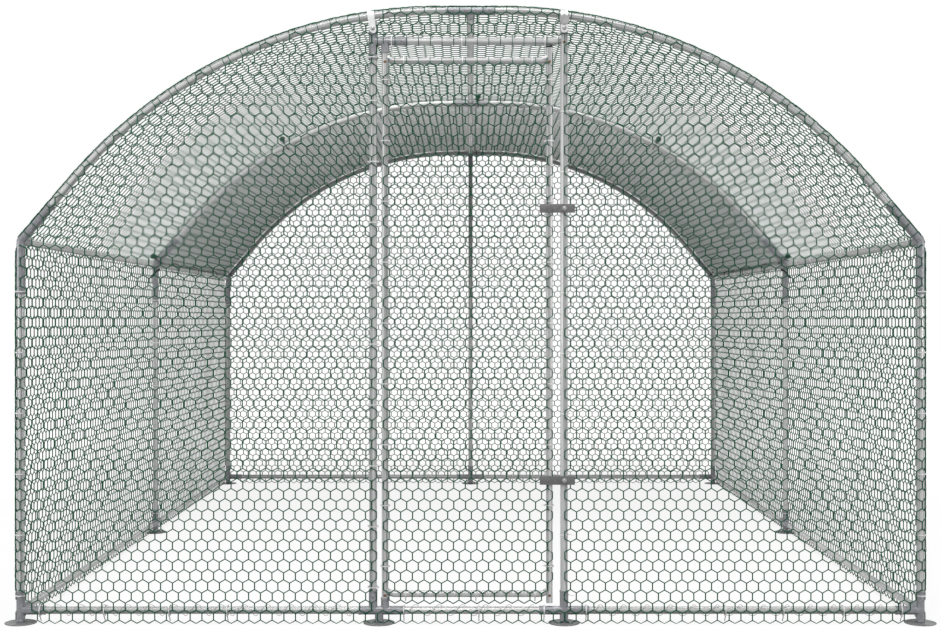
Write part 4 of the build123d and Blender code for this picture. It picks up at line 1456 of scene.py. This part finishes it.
for girth in front_eyelets:
    x, z = arch_frame(girth)[0]
    add_toggle(cover_y0 + eyelet_inset, girth, (x, mid_y, z), forward)
    add_toggle(cover_y1 - eyelet_inset, girth, (x, back_y, z), rearward)
for sign in sides.values():
    girth = sign * (cover_edge - eyelet_inset)
    along = arch_frame(girth)[2]
    x, z = arch_frame(sign * half_girth)[0]
    for y in side_eyelets:
        add_toggle(y, girth, (x, y, z), (along[0], 0, along[1]), side_ball_height, side_ball_ahead)
for sign in sides.values():
    x = sign * half_width + leg_loop_r * np.cos(loop_turns)
    z = eave_z - leg_loop_drop - leg_loop_r * sign * np.cos(loop_turns)
    route = np.stack([x, mid_y + leg_loop_r * np.sin(loop_turns), z], -1)
    add_tube(loops, route, leg_cord_r, None, 8)
show("cover_eyelets", eyelets, bolt_finish)
show("toggle_balls", balls, toggle_finish)
show("toggle_loops", loops, elastic_finish, sharp=80)

# Floor, light and camera


def pale(tree, output, seen, shader):
    """White to the camera and in reflections, and the given shader for everything else."""
    path = add_node(tree, "ShaderNodeLightPath", {})
    rays = path["Is Camera Ray"]
    for kind in ("Is Glossy Ray", "Is Transmission Ray"):
        rays = add_node(tree, "ShaderNodeMath", {0: rays, 1: path[kind]}, operation="MAXIMUM")[0]
    blend = add_node(tree, "ShaderNodeMixShader", {0: rays, 1: shader, 2: seen})[0]
    tree.links.new(blend, output)


scene = bpy.context.scene
scene.view_settings.view_transform = "Standard"

world = bpy.data.worlds.new("studio")
scene.world = world
world.use_nodes = True
tree = world.node_tree
sky = tree.nodes["Background"]
sky.inputs["Color"].default_value = (0.93, 0.96, 1.0, 1.0)
sky.inputs["Strength"].default_value = 0.12
white = add_node(tree, "ShaderNodeBackground", {"Color": (1.0, 1.0, 1.0, 1.0), "Strength": 1.0})[0]
pale(tree, tree.nodes["World Output"].inputs["Surface"], white, sky.outputs[0])

floor_material = bpy.data.materials.new("floor")
floor_material.use_nodes = True
tree = floor_material.node_tree
ground = tree.nodes["Principled BSDF"]
ground.inputs["Base Color"].default_value = (0.16, 0.16, 0.16, 1.0)
ground.inputs["Roughness"].default_value = 0.9
place = add_node(tree, "ShaderNodeNewGeometry", {})["Position"]
distance = add_node(tree, "ShaderNodeVectorMath", {0: place}, operation="LENGTH")["Value"]
whiter = {"Value": distance, "From Min": 2.6, "From Max": 6.0, "To Min": 0.86, "To Max": 1.0}
glow = add_node(tree, "ShaderNodeEmission", {"Strength": add_node(tree, "ShaderNodeMapRange", whiter)[0]})[0]
shadowed = add_node(tree, "ShaderNodeBsdfDiffuse", {"Color": (0.15, 0.15, 0.15, 1.0)})[0]
seen = add_node(tree, "ShaderNodeAddShader", {0: glow, 1: shadowed})[0]
pale(tree, tree.nodes["Material Output"].inputs["Surface"], seen, ground.outputs[0])

floor_reach = 30.0
floor_drop = 0.0004
floor_mesh = bpy.data.meshes.new("floor")
corners = [(a * floor_reach, b * floor_reach, -floor_drop) for a, b in ((-1, -1), (1, -1), (1, 1), (-1, 1))]
floor_mesh.from_pydata(corners, [], [(0, 1, 2, 3)])
floor_mesh.materials.append(floor_material)
floor = bpy.data.objects.new("floor", floor_mesh)
scene.collection.objects.link(floor)


def add_lamp(name, place, target, size, power):
    """Square soft lamp that points at a target."""
    data = bpy.data.lights.new(name, "AREA")
    data.shape = "SQUARE"
    data.size = size
    data.energy = power
    lamp = bpy.data.objects.new(name, data)
    lamp.location = place
    lamp.rotation_euler = (Vector(target) - Vector(place)).to_track_quat("-Z", "Y").to_euler()
    scene.collection.objects.link(lamp)


add_lamp("key", (-1.0, -8.5, 6.5), (0.0, -1.5, 1.0), 2.2, 230.0)
add_lamp("right", (6.0, -4.2, 1.4), (0.0, -2.0, 1.1), 1.7, 86.0)
add_lamp("top", (0.0, -3.0, 7.5), (0.0, -2.4, 0.0), 5.0, 410.0)
add_lamp("rear_top", (0.0, 3.0, 8.0), (0.0, 1.0, 0.0), 5.0, 185.0)
add_lamp("left", (-6.0, -4.2, 1.4), (0.0, -2.0, 1.1), 1.7, 86.0)

# Camera: level, square to the door wall, with the photograph's vanishing point
image_width = 941
focal_pixels = 1403.0
sensor = 36.0
camera_distance = 4.68
camera_height = 1.010
vanishing_drop = 4.3
camera_data = bpy.data.cameras.new("camera")
camera_data.sensor_width = sensor
camera_data.lens = focal_pixels * sensor / image_width
camera_data.shift_y = vanishing_drop / image_width
camera = bpy.data.objects.new("camera", camera_data)
camera.location = (0.0, front_y - camera_distance, camera_height)
camera.rotation_euler = (pi / 2, 0.0, 0.0)
scene.collection.objects.link(camera)
scene.camera = camera
